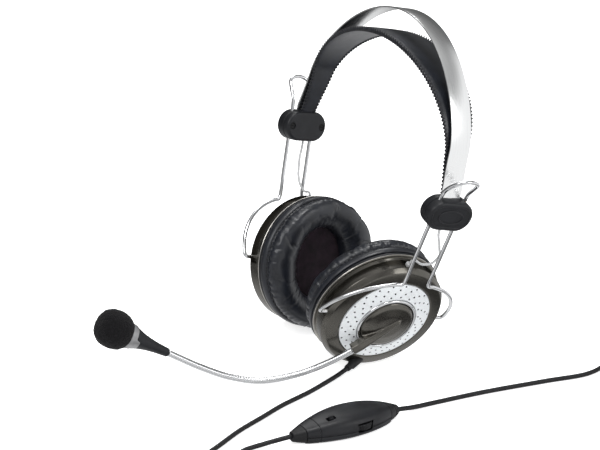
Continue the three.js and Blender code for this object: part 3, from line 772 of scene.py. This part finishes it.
def yoke_path():
    """From one pivot pin over the finger loop to the other, as a bent wire runs."""
    across = LEG_OUTSET + PIVOT_INSET
    drop = PIVOT_DROP - SHOULDER_DROP
    slope = math.hypot(across, drop)
    shoulder = math.acos(LEG_HALF_SPACING / ARM_REACH)

    def on_arm(u, y):
        return (-PIVOT_INSET + across / slope * u, y, -PIVOT_DROP + drop / slope * u)

    half = [on_arm(0, PIN_END), on_arm(0, ARM_REACH - 2.2), on_arm(0.3, ARM_REACH - 0.9),
            on_arm(1.6, ARM_REACH - 0.1)]
    for i in range(1, 9):
        angle = shoulder * i / 8.6
        half.append(on_arm(ARM_RISE * math.sin(angle), ARM_REACH * math.cos(angle)))
    half += [(LEG_OUTSET - 0.25, LEG_HALF_SPACING + 1.1, -SHOULDER_DROP - 0.6),
             (LEG_OUTSET, LEG_HALF_SPACING, -SHOULDER_DROP + 1.6)]
    half += [(LEG_OUTSET, LEG_HALF_SPACING, z) for z in (-30, -12, 0, 12)]
    half += [(1.4, LEG_HALF_SPACING, 17), (4.6, 8.3, 22), (8.2, 6.6, 26.6), (9.4, 3.4, 28.4),
             (9.7, 0, 28.9)]
    front = [(x, -y, z) for x, y, z in half[:-1]]
    return through([*front, *half[::-1]], 6)


def yoke(side, place):
    make(f"{side}_yoke", swept(yoke_path(), WIRE_RADIUS, 16), CHROME, f"{side}_yoke", place,
         [f"{side}_yoke_wire"], 180)


# Each side's points beside the block, past the yoke's shoulder, and last, as seen from the end.
SIGNAL_LEADS = {
    "left": ([(-2.6, 2.6, -3.6), (-2.6, 2.9, -12), (-2.9, 7, -20), (-4.85, 12, -28)],
             [(-5, 12.2, -28.6), (-7.85, 11.5, -35.8)], [(3.4, 5.6, 2), (0.7, 1, 3), (0, 0, 0)]),
    "right": ([(-2.6, -0.8, -6.6), (-2.9, -0.4, -13), (-4.2, 1.3, -19.5), (-8, 3.7, -28.3)],
              [(-8.3, 3.85, -28.8), (-12, 4.8, -34.1)], [(3.6, 1.7, 1.9), (1.2, 0.6, 2), (0, 0, 0)])}


def signal_lead(side, cup, place):
    """Two lengths that meet on the yoke's frame: one from beside the block to the join, one from the
    join into the cup.
    """
    end = place.inverted() @ cup @ Vector((-2.2, 1.5, 38.9))
    top, low, into = SIGNAL_LEADS[side]
    low = [*low, *[end + Vector(p) for p in into]]
    join = (Vector(top[-1]) + Vector(low[0])) / 2
    cup_body, yoke_body = f"{side}_cup", f"{side}_yoke"
    lengths = (("top", "upper", [*top, join], "headband", yoke_body, Vector((-2.6, 0, -9)), join),
               ("low", "lower", [join, *low], yoke_body, cup_body, join, end))
    for name, node, route, before, after, start, stop in lengths:
        path = [place @ p for p in through(route, 8)]
        lead = make(f"{side}_lead_{name}", swept(path, SIGNAL_RADIUS * MM, 10), LEAD, None, None,
                    [f"{side}_lead_{node}"], 180)
        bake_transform(lead)


# ---- ear cups
# Outlines are (radius, x) in the cup's frame, whose X points outwards from the head.
SHELL = [(6, 1.2), (31, 1.2), (34, -1), (34.2, -8), (38.6, -8), (38.6, 0.8), (36.3, 4.1),
         (29.6, 5.3), (29, 5.1), (29, 3), (6, 3)]
BAFFLE = [(14, -10.6), (39.6, -10.6), (39.6, -8.3), (14, -8.3)]
HIGHLIGHT_EDGE = [(38.4, -8.8), (39.6, -8.8), (39.75, -8.5), (39.6, -8.2), (38.4, -8.2), (38.4, -8.8)]
# The thin ring at the baffle's edge that carries the painted highlight line.
SPEAKER_RING = [(19, 3.3), (28.7, 3.3), (28.7, 5.4), (19, 8)]
BEAD_RING = [(17, 3.3), (18.7, 3.3), (18.7, 8.3), (18.1, 8.9), (17.4, 8.9), (17, 8.3)]
HOLE_ROWS = (20.6, 22.9, 25.2, 27.5)
HOLES_ROUND = 20
HOLE_ROW_TURN = 0.62
HOLE_RADIUS = 0.58


def cup_shell(side, place):
    """The shell, stepped back along its upper half, and the baffle behind it, with a thin ring at its
    edge in a lighter copy of the gunmetal: a painted highlight line.
    """
    body = f"{side}_cup"
    shell = make(f"{side}_shell", lathe(soften(SHELL, 0.6, True, 3), 128), GUNMETAL, body, place,
                 [f"{side}_cup_shell"])
    rows = []
    for i in range(97):
        angle = math.radians(-5.2 + 190.4 * i / 96)
        corners = [(36.4, -5.2), (42, -5.2), (42, 0.9), (36.4, 0.9)]
        rows.append([around(x, r, angle) for r, x in corners])
    carve(shell, skinned(rows), place)
    make(f"{side}_baffle", lathe(soften(BAFFLE, 0.4, True, 3), 128), PLASTIC, body, place,
         [f"{side}_baffle_plate"])
    make(f"{side}_bright_edge", lathe(HIGHLIGHT_EDGE, 128), HIGHLIGHT_RIM, body, place)
    dress(f"{side}_driver", PLASTIC)
    dress(f"{side}_lead_grommet", LEAD)


def perforated_ring(side, place):
    """The silver ring with its holes, their walls and floors given a near-black material as painted
    shade, and the bead ring.
    """
    body = f"{side}_cup"
    ring = make(f"{side}_speaker_ring", lathe(soften(SPEAKER_RING, 0.25, True, 2), 120), SILVER, body,
                place, [f"{side}_perforated_ring"])
    spots = []
    for row, radius in enumerate(HOLE_ROWS):
        for i in range(HOLES_ROUND):
            angle = math.tau * (i + HOLE_ROW_TURN * row) / HOLES_ROUND
            spots.append((radius * math.cos(angle), radius * math.sin(angle)))
    carve(ring, joined(*[rod((4.2, y, z), (9, y, z), HOLE_RADIUS, 10) for y, z in spots]), place)
    # The near-black second material goes on the holes' walls and floors: painted shade inside the holes.
    ring.data.materials.append(BLACK_AND_HOLE_SHADE.material)
    inverse = place.inverted()
    for face in ring.data.polygons:
        at = inverse @ face.center
        facing = (inverse.to_3x3() @ face.normal).normalized().x
        inside = any(math.hypot(at.y - y, at.z - z) < HOLE_RADIUS * 1.02 for y, z in spots)
        if inside and (facing < 0.5 or at.x < 4.4):
            face.material_index = 1
    make(f"{side}_bead_ring", lathe(soften(BEAD_RING, 0.4, True, 3), 120), CHROME, body, place,
         [f"{side}_chrome_ring"], 60)


HUB = [(0, -1), (5.6, -1), (6.8, 0.2), (5.6, 0.8), (5.6, 3.3), (HUB_RADIUS, 3.3), (HUB_RADIUS, 8.8),
       (14.5, 10), (8, 11.4), (0, 12)]
ARM_START = -8.2
ARM_LENGTH = 33


def hub_dome():
    return lathe(soften(HUB, 1.0, False, 3), 96)


def boom_hub(place):
    """The dome and, melted into it, the ridged arm that carries the gooseneck. It widens as it goes."""
    drop = math.radians(BOOM_DROP)
    ahead = Vector((0, -math.cos(drop), -math.sin(drop)))
    aside = Vector((0, math.sin(drop), -math.cos(drop)))
    out = Vector((1, 0, 0))
    rows = []
    for i in range(25):
        t = i / 24
        along = ARM_START + ARM_LENGTH * t
        half = 1.1 + 2.15 * min(1, t * 1.15) ** 0.8
        crest = 13.1 + 3.2 * min(1, t * 1.2)
        foot = 9.2 + 1.2 * unit((along - 15) / 6)
        sides = [(-half, foot), (half, foot), (half * 0.95, crest - 1.9), (half * 0.25, crest),
                 (-half * 0.25, crest), (-half * 0.95, crest - 1.9)]
        if i == 0:
            sides = [(a * 0.5, min(x, 12)) for a, x in sides]
        rows.append([ahead * along + aside * a + out * x for a, x in sides])
    hub = make("boom_hub_cover", joined(hub_dome(), skinned(rows)), GUNMETAL, None, place,
               ["boom_hub"])
    fuse(hub, 0.32, 5)
    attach(hub, "boom")


CUSHION = [(39.9, -11), (40.2, -12), (40.2, -13.6), (39.6, -15), (38.6, -15.8), (39.7, -16.9),
           (40.5, -18.7), (40.3, -20.8), (38.7, -22.7), (35.6, -23.9), (31.8, -24.3), (28, -23.6),
           (24.2, -22), (21.4, -19.6), (20.2, -17), (19.9, -14), (19.9, -11)]
SEAM = (38.8, -15.8)
CREST_DEPTH = 7.6
SEGMENTS = 240
MOST_SWELL = 1.6
CLOTH_FRAMES = 20
CLOTH_SCALE = 0.01


def gathering(radius, x):
    """How far the leather is gathered: 1 just past the seam, 0 at the crest."""
    return 1 - unit((SEAM[1] - x) / CREST_DEPTH) if x < SEAM[1] - 0.1 and radius > 32 else 0


def cushion_point(radius, x, angle):
    """Gathers run out from the seam over the shoulder and fade towards the crest. The hole is oval."""
    u, v = math.cos(angle), math.sin(angle)
    folds = -abs(noise.noise(Vector((u * 17, v * 17, 4.1)))) ** 0.6
    waves = noise.noise(Vector((u * 7, v * 7, 0.3)))
    push = gathering(radius, x) ** 0.9 * (2.2 * folds + 0.3 * waves)
    inner = unit((29 - radius) / 5) * unit((-x - 17) / 3)
    push += inner * 0.6 * noise.noise(Vector((u * 12, v * 12, 8.7)))
    slack = noise.noise(Vector((u * 3.1, v * 3.1, x * 0.12))) * 0.3 * (x < -18.4)
    oval = 1 + 0.085 * (v * v - u * u) * unit((32 - radius) / 8)
    size = (radius + push + slack) * oval
    return (x - 0.8 * slack + 0.35 * push, size * u, size * v)


def leather_skin():
    """The cushion's skin about X, blown up as cloth over air and sewn down at its seam and base."""
    profile = through([(r, x, 0) for r, x in CUSHION], 3)
    points, faces = skinned([[cushion_point(p.x, p.y, angle) for p in profile]
                             for angle in angles(SEGMENTS)], True)
    sewn = [k for k, p in enumerate(profile) if p.y > -16.1 and p.x > 30 or p.y > -15]
    held = [i * len(profile) + k for i in range(SEGMENTS) for k in sewn]
    caps = [MOST_SWELL - 1.35 * gathering(p.x, p.y) for p in profile] * SEGMENTS
    return blown(points, faces, held, caps), faces


def blown(points, faces, held, caps):
    """Steps the skin as cloth, at ten times its real size, and caps how far each point moves."""
    mesh = closed_mesh("skin", [Vector(p) * CLOTH_SCALE for p in points], faces)
    skin = added("skin", mesh)
    skin.vertex_groups.new(name="sewn").add(held, 1, "REPLACE")
    cloth = skin.modifiers.new("cloth", "CLOTH")
    fabric = cloth.settings
    for setting, value in dict(quality=6, mass=0.2, tension_stiffness=25, compression_stiffness=25,
                               shear_stiffness=8, bending_stiffness=0.6, air_damping=4,
                               shrink_min=0, use_pressure=True, uniform_pressure_force=4,
                               vertex_group_mass="sewn").items():
        setattr(fabric, setting, value)
    fabric.effector_weights.gravity = 0
    cloth.collision_settings.use_collision = False
    cloth.point_cache.frame_end = CLOTH_FRAMES
    for step in range(1, CLOTH_FRAMES + 1):
        bpy.context.scene.frame_set(step)
    graph = bpy.context.evaluated_depsgraph_get()
    moved = [v.co * (1 / CLOTH_SCALE) for v in skin.evaluated_get(graph).data.vertices]
    bpy.data.objects.remove(skin)
    bpy.data.meshes.remove(mesh)
    bpy.context.scene.frame_set(1)
    result = []
    for start, end, most in zip(points, moved, caps):
        step = end - Vector(start)
        far = step.length
        result.append(Vector(start) + step * (min(1, most / far) if far > 0 else 1))
    return result


LEATHER_SKIN = leather_skin()


def ear_cushion(side, place):
    cushion = make(f"{side}_cushion", LEATHER_SKIN, LEATHER, f"{side}_cup", place,
                   [f"{side}_ear_cushion"], 180)
    divide(cushion)
    cushion_seam(side, place)
    ear_cloth(side, place)


STITCHES = 96


def cushion_seam(side, place):
    """The stitches round the seam, each a short slanted length of thread."""
    radius, x = SEAM
    stitches = []
    for i in range(STITCHES):
        a, b = (math.tau * (i + s) / STITCHES for s in (0.12, 0.82))
        turns = ((0.3, radius, a), (0.05, radius + 0.45, (a + b) / 2), (-0.3, radius, b))
        stitches.append(swept([around(x + shift, r, angle) for shift, r, angle in turns], 0.24, 6))
    make(f"{side}_seam", joined(*stitches), THREAD, f"{side}_cup", place, sharp=180)


CLOTH_X = -12.9
CLOTH_RADIUS = 24.5
CLOTH_RINGS = 18
CLOTH_SEGMENTS = 72


def ear_cloth(side, place):
    """A thin disc of cloth with slack in it, its rim turned in."""
    n = CLOTH_SEGMENTS
    points = [(CLOTH_X, 0, 0)]
    for ring in range(1, CLOTH_RINGS + 1):
        share = ring / CLOTH_RINGS
        for angle in angles(n):
            x, y, z = around(CLOTH_X, CLOTH_RADIUS * ring / CLOTH_RINGS, angle)
            ripple = noise.noise(Vector((y * 0.16, z * 0.16, 2))) * 0.35
            points.append((x + 0.6 * share ** 3 + ripple * (1 - share ** 4), y, z))
    faces = [(0, 1 + i, 1 + (i + 1) % n) for i in range(n)]
    for ring in range(CLOTH_RINGS - 1):
        for i in range(n):
            a, b = 1 + ring * n + i, 1 + ring * n + (i + 1) % n
            faces.append((a, a + n, b + n, b))
    cloth = make(f"{side}_cloth", (points, faces), CLOTH, None, place, [f"{side}_ear_cloth"], 180)
    thick = cloth.modifiers.new("thick", "SOLIDIFY")
    thick.thickness = 0.9 * MM
    thick.offset = -1
    settle(cloth)
    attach(cloth, f"{side}_cup")


# ---- boom and microphone
NECK_PITCH = 1.05
NECK_RIB = 0.16
MIC_END = 24.8
TAB_ANGLE = 5.35
TAB_HALF_WIDTH = 27


def gooseneck():
    """A ribbed tube: four rings of points to each rib."""
    path = through(NECK_ROUTE, 40)
    points, travelled, wanted = [], 0.0, 0.0
    step = NECK_PITCH * MM / 4
    for a, b in zip(path, path[1:]):
        length = (b - a).length
        while wanted <= travelled + length:
            points.append(a.lerp(b, (wanted - travelled) / length))
            wanted += step
        travelled += length
    last = len(points) - 1

    def rib(t):
        return (NECK_RADIUS - NECK_RIB + NECK_RIB * (0, 0.75, 1, 0.75)[round(t * last) % 4]) * MM

    make("gooseneck", swept(points, rib, 16), RIBBED, "boom", None, ["boom_gooseneck"], 180)


def microphone_place():
    tip, before = Vector(NECK_ROUTE[-1]), Vector(NECK_ROUTE[-2])
    turn = Vector((1, 0, 0)).rotation_difference((tip - before).normalized())
    return Matrix.Translation(tip) @ turn.to_matrix().to_4x4() @ METRES


def microphone(place):
    housing = [(0, 0.3), (2.55, 0.3), (3.1, 8.5), (3.9, 14.5), (5, 19.5), (6.6, 24.2), (6.6, MIC_END),
               (0, MIC_END)]
    make("mic_body", lathe(soften(housing, 0.5, False, 4), 64), PLASTIC, "boom", place,
         ["mic_housing"])
    mic_collar(place)
    dress("mic_capsule", PLASTIC)
    foam_ball(place)


def mic_collar(place):
    """The silver ring, with a tab that reaches back over the housing on one side."""
    rows = []
    for angle in angles(96):
        off = abs(math.degrees((angle - TAB_ANGLE + math.pi) % math.tau - math.pi))
        tab = 1 / (1 + math.exp((off - TAB_HALF_WIDTH) * 0.6))
        back = MIC_END - 3 * tab
        under = 6.5 - max(0, 24.2 - back) / 3
        corners = [(under, back), (under + 0.5, back), (7.1, 25.2), (7.95, 28.8), (3, 28.8), (3, 26)]
        rows.append([around(p.y, p.x, angle) for p in soften(corners, 0.2, True, 2)])
    make("mic_collar", skinned(rows, True), SATIN, "boom", place, ["mic_ring"])


FOAM_OUTLINE = [(5.0, 33), (5.0, 28.9), (7.8, 28.8), (9.5, 30.7), (10.8, 34), (11.2, 37.5),
                (10.7, 41.3), (9.1, 44.7), (6.3, 47), (3.1, 48), (0, 48.1)]
FOAM_MIDDLE = 38


def foam_ball(place):
    """An egg over the capsule, its skin roughened by pores."""
    profile = through([(r, x, 0) for r, x in FOAM_OUTLINE], 5)
    points, faces = lathe([(max(0, p.x), p.y) for p in profile[:-1]] + FOAM_OUTLINE[-1:], 120)
    rough = []
    for p in points:
        spot = Vector(p)
        pore = noise.noise(spot * 1.5) * 0.2 + noise.noise(spot * 0.4) * 0.25
        out = Vector((spot.x - FOAM_MIDDLE, spot.y, spot.z)).normalized()
        rough.append(spot + out * pore)
    foam = make("mic_windshield", (rough, faces), FOAM, "boom", place, ["mic_foam"], 180)


# ---- in-line controller, millimetres
CONTROLLER_AT = (93.6, 4)
CONTROLLER_LENGTH = 72
FRONT, REAR = 7.4 - CONTROLLER_LENGTH / 2, CONTROLLER_LENGTH / 2 - 8.6
SPLIT_HEIGHT = 4.6
SPLIT_HALF_GAP = 0.16
GROOVE_DEPTH = 0.3
WHEEL_AT = (98.8, 10)
WHEEL_RADIUS = 7.4
WHEEL_TEETH = 48
SLIDER_AT = (97.0, -8.4)


def on_cord(name, shape, look, *replaces, body="left_cup"):
    """A piece that lies with the cord."""
    return make(name, shape, look, body, METRES, replaces)


def controller_outline(y):
    """Half the width, the lowest and the highest point of the cross-section there."""
    t = 2 * y / CONTROLLER_LENGTH
    bulge = 1 - abs(t) ** (1.75 if t < 0 else 2.3)
    return 2.7 + 9.3 * bulge, 1.9 * max(0, 4 * abs(t) - 3) ** 1.5, 7.2 + 6.1 * bulge


def lower_ring(y, inset):
    half, low, _ = controller_outline(y)
    half -= inset
    low += inset
    edge = SPLIT_HEIGHT - SPLIT_HALF_GAP
    right = [(half - 0.15, edge), (half, edge - 0.25), (half * 0.985, low + 2.1),
             (half * 0.9, low + 0.9), (half * 0.66, low + 0.15), (half * 0.5, low)]
    return [*right, *[(-x, z) for x, z in right[::-1]]]


def upper_ring(y, inset):
    half, _, top = controller_outline(y)
    half -= inset
    edge = SPLIT_HEIGHT + SPLIT_HALF_GAP
    rise = top - inset - edge
    right = [(half - 0.15, edge)]
    for k in range(8):
        angle = math.pi / 2 * k / 8
        right.append((half * math.cos(angle) ** 0.62,
                      edge + 0.3 + (rise - 0.3) * math.sin(angle) ** 0.8))
    return [*right, (0, edge + rise), *[(-x, z) for x, z in right[::-1]]]


def controller_shell(ring):
    """One shell, with a fine groove round it near its front end."""
    groove = FRONT + 7.3
    stations = [(FRONT + (REAR - FRONT) * i / 40, 0) for i in range(41)]
    stations = [(y, inset) for y, inset in stations if abs(y - groove) > 0.5]
    stations += [(groove - 0.35, 0), (groove - 0.15, GROOVE_DEPTH), (groove + 0.15, GROOVE_DEPTH),
                 (groove + 0.35, 0)]
    return skinned([[(CONTROLLER_AT[0] + x, CONTROLLER_AT[1] + y, z) for x, z in ring(y, inset)]
                    for y, inset in sorted(stations)])


def controller():
    x, y = SLIDER_AT
    wheel_room = rod((*WHEEL_AT, 3.4), (*WHEEL_AT, 9), WHEEL_RADIUS + 0.7, 64)
    slot = block_of((x - 1.6, y - 2.8, 10.2), (x + 1.6, y + 2.8, 20))
    top = on_cord("controller_upper", controller_shell(upper_ring), PLASTIC, "controller_top")
    carve(top, joined(wheel_room, slot), METRES)
    low = on_cord("controller_lower", controller_shell(lower_ring), PLASTIC, "controller_bottom")
    carve(low, wheel_room, METRES)
    on_cord("slider_bed", block_of((x - 2.2, y - 3.2, 9.4), (x + 2.2, y + 3.2, 10.4)), BLACK_AND_HOLE_SHADE)
    controller_cap("front", -CONTROLLER_LENGTH / 2, FRONT - 0.25, ())
    controller_cap("rear", REAR + 0.25, CONTROLLER_LENGTH / 2, (13, 14, 17, 18, 21, 22))
    volume_wheel()
    mute_slider()
    dress("controller_board", BOARD)


def controller_cap(end, start, stop, grooved):
    """A rubber end. The rear one has three grooves round it."""
    rows = []
    for i in range(25):
        y = start + (stop - start) * i / 24
        half, low, top = controller_outline(y)
        depth = 0.35 if i in grooved else 0
        rows.append([(CONTROLLER_AT[0] + across, CONTROLLER_AT[1] + y, (low + top) / 2 + up)
                     for across, up in squarish(half - depth, (top - low) / 2 - depth, 0.72, 32)])
    cap = on_cord(f"controller_end_{end}", skinned(rows), RUBBER, f"controller_cap_{end}")
    bevel(cap, 0.35, 3)


def volume_wheel():
    """A knurled wheel on a short hub."""
    x, y = WHEEL_AT
    rows = []
    for z, inset in ((4.5, 0.5), (4.9, 0), (7.5, 0), (7.9, 0.5)):
        ring = []
        for i, angle in enumerate(angles(WHEEL_TEETH * 4)):
            radius = WHEEL_RADIUS - inset - (0.3 if i % 4 in (0, 1) else 0)
            ring.append((x + radius * math.cos(angle), y + radius * math.sin(angle), z))
        rows.append(ring)
    hub = rod((x, y, 3.8), (x, y, 4.7), 2.2, 24)
    on_cord("knurled_wheel", joined(skinned(rows), hub), RUBBER, "volume_wheel", body="volume_wheel")


def mute_slider():
    """A foot inside, and a nub with three ribs outside, each a box."""
    x, y = SLIDER_AT
    boxes = [(2.4, -3.4, 3.4, 7.4, 8.6), (1.2, -1.3, 1.3, 8.6, 12.9)]
    boxes += [(1.2, at - 0.2, at + 0.2, 12.9, 13.3) for at in (-0.9, 0, 0.9)]
    parts = [block_of((x - half, y + near, low), (x + half, y + far, high))
             for half, near, far, low, high in boxes]
    nub = on_cord("slide_switch", joined(*parts), PLASTIC, "mute_slider", body="mute_slider")
    bevel(nub, 0.18, 2)


# ---- cord and what is on it, millimetres
RELIEF_ENDS = (2.2, 1, -33.6), (9.6, -10.4, -35.8)
RELIEF = ((0, 2.6, 2.4), (9.4, 2.6, 2.4), (10.2, 2.3, 2.1), (10.6, 2.1, 2.0), (13.9, 2.0, 1.95),
          (14.2, 1.9, 1.85))
SPLITTER = ((-7, 3.4, 1.5), (-6.4, 4.2, 2.2), (-2, 4.4, 2.4), (3, 3.4, 2.3), (5.6, 2.5, 2.1),
            (7, 2.3, 1.9))
PLUG_GRIP = [(0, 0), (1.8, 0), (2.1, 4), (2.6, 7), (4, 9), (4.2, 10), (4.2, 21), (3.4, 22), (0, 22)]
PIN = [(0, 22.3), (1.75, 22.3), (1.75, 33), (1.1, 34.4), (1.7, 35.2), (0, 36.6)]


def cord_relief(place):
    """The gland in the cup and the tapered relief round the cord's first millimetres."""
    inner, outer = (Vector(end) for end in RELIEF_ENDS)
    along = (outer - inner).normalized()
    across = along.cross(Vector((0, 0, 1))).normalized()
    up = across.cross(along)
    rows = [[inner + along * at + across * x + up * z
             for x, z in squarish(half, tall, 0.55 if at < 10 else 0.9, 24)]
            for at, half, tall in RELIEF]
    make("cord_strain_relief", skinned(rows), RUBBER, "left_cup", place, ["cord_gland"])


def splitter():
    """The flat moulding where the cord divides into its two tails."""
    x, y = (c / MM for c in SPLITTER_AT)
    rows = [[(x + across, y + at, 2.5 + up) for across, up in squarish(half, tall, 0.7, 32)]
            for at, half, tall in SPLITTER]
    body = on_cord("cord_joint", skinned(rows), RUBBER, "cord_splitter")
    bevel(body, 0.3, 2)


def coil_tie():
    """A soft strap round one side of the coil."""
    x, y = COIL_AT[0] / MM + COIL_INNER / MM + 4.85, COIL_AT[1] / MM
    rows = [[(x + across, y + at, 6.05 + up)
             for across, up in squarish(7.6 - thin, 6 - thin, 0.5, 40)]
            for at, thin in ((-3, 0.1), (-2.6, 0), (2.6, 0), (3, 0.1))]
    on_cord("coil_tie", skinned(rows), RUBBER)


def plug(name, end):
    """A 3.5 mm plug: a grip with four ribs, and a gold pin with two black bands."""
    place = Matrix.Translation((end.x, end.y - 0.0003, end.z))
    place = place @ Matrix.Rotation(-math.pi / 2, 4, "Z") @ METRES
    ribs = [lathe([(4.05, x), (4.35, x + 0.25), (4.35, x + 0.75), (4.05, x + 1)], 48)
            for x in (11.5, 13.5, 15.5, 17.5)]
    bands = [lathe([(1.6, x), (1.78, x), (1.78, x + 0.7), (1.6, x + 0.7)], 32) for x in (27, 30.5)]
    grip = lathe(soften(PLUG_GRIP, 0.5, False, 3), 48)
    pin = lathe(soften(PIN, 0.25, False, 2), 32)
    make(f"{name}_plug_grip", joined(grip, *ribs), RUBBER, "left_cup", place, [f"{name}_plug_body"])
    make(f"{name}_pin", pin, GOLD, "left_cup", place, [f"{name}_plug_pin"])
    make(f"{name}_pin_bands", joined(*bands), PLASTIC, "left_cup", place)


def cords(cup):
    cord_relief(cup)
    splitter()
    coil_tie()
    path = main_cord()
    lead = cord_curve("cord", path, CORD_RADIUS * MM)
    finish_piece(lead, "left_cup",
                 ["cord_to_controller", "cord_to_coil", "cord_coil", "cord_to_splitter"])
    for name, sign in (("audio", -1), ("mic", 1)):
        route = tail_path(sign)
        tail = cord_curve(f"{name}_tail_cord", route, TAIL_RADIUS * MM)
        finish_piece(tail, "left_cup", [f"{name}_tail"])
        plug(name, route[-1])


# ---- studio
FLOOR_HALF_SIDE = 40
LAMPS = (("key", (0.2, -1.1, 1.2), 0.8, 9), ("side", (1.2, 0.7, 0.9), 0.6, 4),
         ("back", (-0.9, 0.6, 1.2), 0.7, 8), ("top", (0.1, 0.1, 1.5), 0.45, 8))
LAMPS_AIM = (0, 0.05, 0.1)
UPWARDS = (0, 0, 1)
TOWARDS_VIEWER = (0.8177, -0.5756, 0)
TOWARDS_WALL = (0.766, 0.643, 0)
# Greys from straight down, 0, to straight up, 1.
VIEWER_SIDE = [(0.0, 0.75), (0.22, 0.8), (0.27, 0.12), (0.31, 0.12), (0.36, 0.95), (0.47, 0.9),
               (0.52, 0.3), (0.6, 0.32), (0.8, 0.6), (1.0, 0.8)]
FAR_SIDE = [(0.0, 0.95), (0.15, 0.8), (0.3, 0.22), (0.46, 0.06), (0.6, 0.1), (0.8, 0.2), (1.0, 0.7)]
WALL = [(0.0, 0.7), (0.1, 0.65), (0.14, 0.1), (0.2, 0.1), (0.25, 0.98), (0.7, 0.95), (0.79, 0.3),
        (1.0, 0.6)]


def studio():
    """A pale floor that glows a little, soft lamps, and a tent for the metal to reflect."""
    s = FLOOR_HALF_SIDE
    mesh = bpy.data.meshes.new("floor")
    mesh.from_pydata([(-s, -s, 0), (s, -s, 0), (s, s, 0), (-s, s, 0)], [], [(0, 1, 2, 3)])
    floor = added("floor", mesh)
    pale = Look("floor", None, (0.92, 0.92, 0.92), 0.8, Emission_Color=(1, 1, 1, 1),
                Emission_Strength=0.72)
    mesh.materials.append(pale.tint(3, 0.01).material)
    floor.visible_glossy = False
    for name, place, size, power in LAMPS:
        light = bpy.data.lights.new(name, "AREA")
        light.size = size
        light.energy = power
        lamp = added(name, light)
        lamp.location = place
        lamp.rotation_mode = "QUATERNION"
        aim = Vector(LAMPS_AIM) - Vector(place)
        lamp.rotation_quaternion = aim.to_track_quat("-Z", "Y")
    tent()
    bpy.context.scene.view_settings.view_transform = "Standard"


def tent():
    """Greys by height and by side: the viewer's side, the far side and a bright wall beside them."""
    world = bpy.data.worlds.new("tent")
    bpy.context.scene.world = world
    world.use_nodes = True
    tree = world.node_tree
    place = add_node(tree, "ShaderNodeTexCoord").outputs["Generated"]

    def towards(way):
        """1 where the tent is seen in that direction, -1 where in the opposite one."""
        node = add_node(tree, "ShaderNodeVectorMath", {"operation": "DOT_PRODUCT"}, Vector=place)
        node.inputs[1].default_value = way
        return node.outputs["Value"]

    def from_zero(value):
        """From 0 to 1 instead of from -1 to 1."""
        return add_node(tree, "ShaderNodeMapRange", Value=value, From_Min=-1).outputs["Result"]

    def blend(factor, stops):
        node = add_node(tree, "ShaderNodeValToRGB", Fac=factor)
        ramp = node.color_ramp.elements
        while len(ramp) < len(stops):
            ramp.new(0.5)
        for stop, (position, grey) in zip(ramp, stops):
            stop.position = position
            stop.color = (grey, grey * 1.005, grey * 1.015, 1)
        return node.outputs["Color"]

    up = from_zero(towards(UPWARDS))
    near = blend(from_zero(towards(TOWARDS_VIEWER)), [(0.42, 0), (0.62, 1)])
    beside = blend(towards(TOWARDS_WALL), [(0.3, 0), (0.5, 1)])
    shade = blend(up, FAR_SIDE)
    for part, stops in ((near, VIEWER_SIDE), (beside, WALL)):
        mix = add_node(tree, "ShaderNodeMix", {"data_type": "RGBA"}, Factor=part, A=shade,
                       B=blend(up, stops))
        shade = mix.outputs["Result"]
    tree.links.new(shade, tree.nodes["Background"].inputs["Color"])


# ---- everything, camera and cords first
make_camera()
left_cup, left_wire, left_block = side_places("left")
right_cup, right_wire, right_block = side_places("right")
controller()
cords(left_cup)
studio()
spring_band(headband_place())
padded_strap(headband_place())
for side, cup, wire, block in (("left", left_cup, left_wire, left_block),
                               ("right", right_cup, right_wire, right_block)):
    clamp_block(side, block)
    yoke(side, wire)
    signal_lead(side, cup, wire)
    cup_shell(side, cup)
    perforated_ring(side, cup)
    ear_cushion(side, cup)
boom_hub(left_cup)
make("right_hub_dome", hub_dome(), GUNMETAL, "right_cup", right_cup, ["right_hub_cap"])
gooseneck()
microphone(microphone_place())
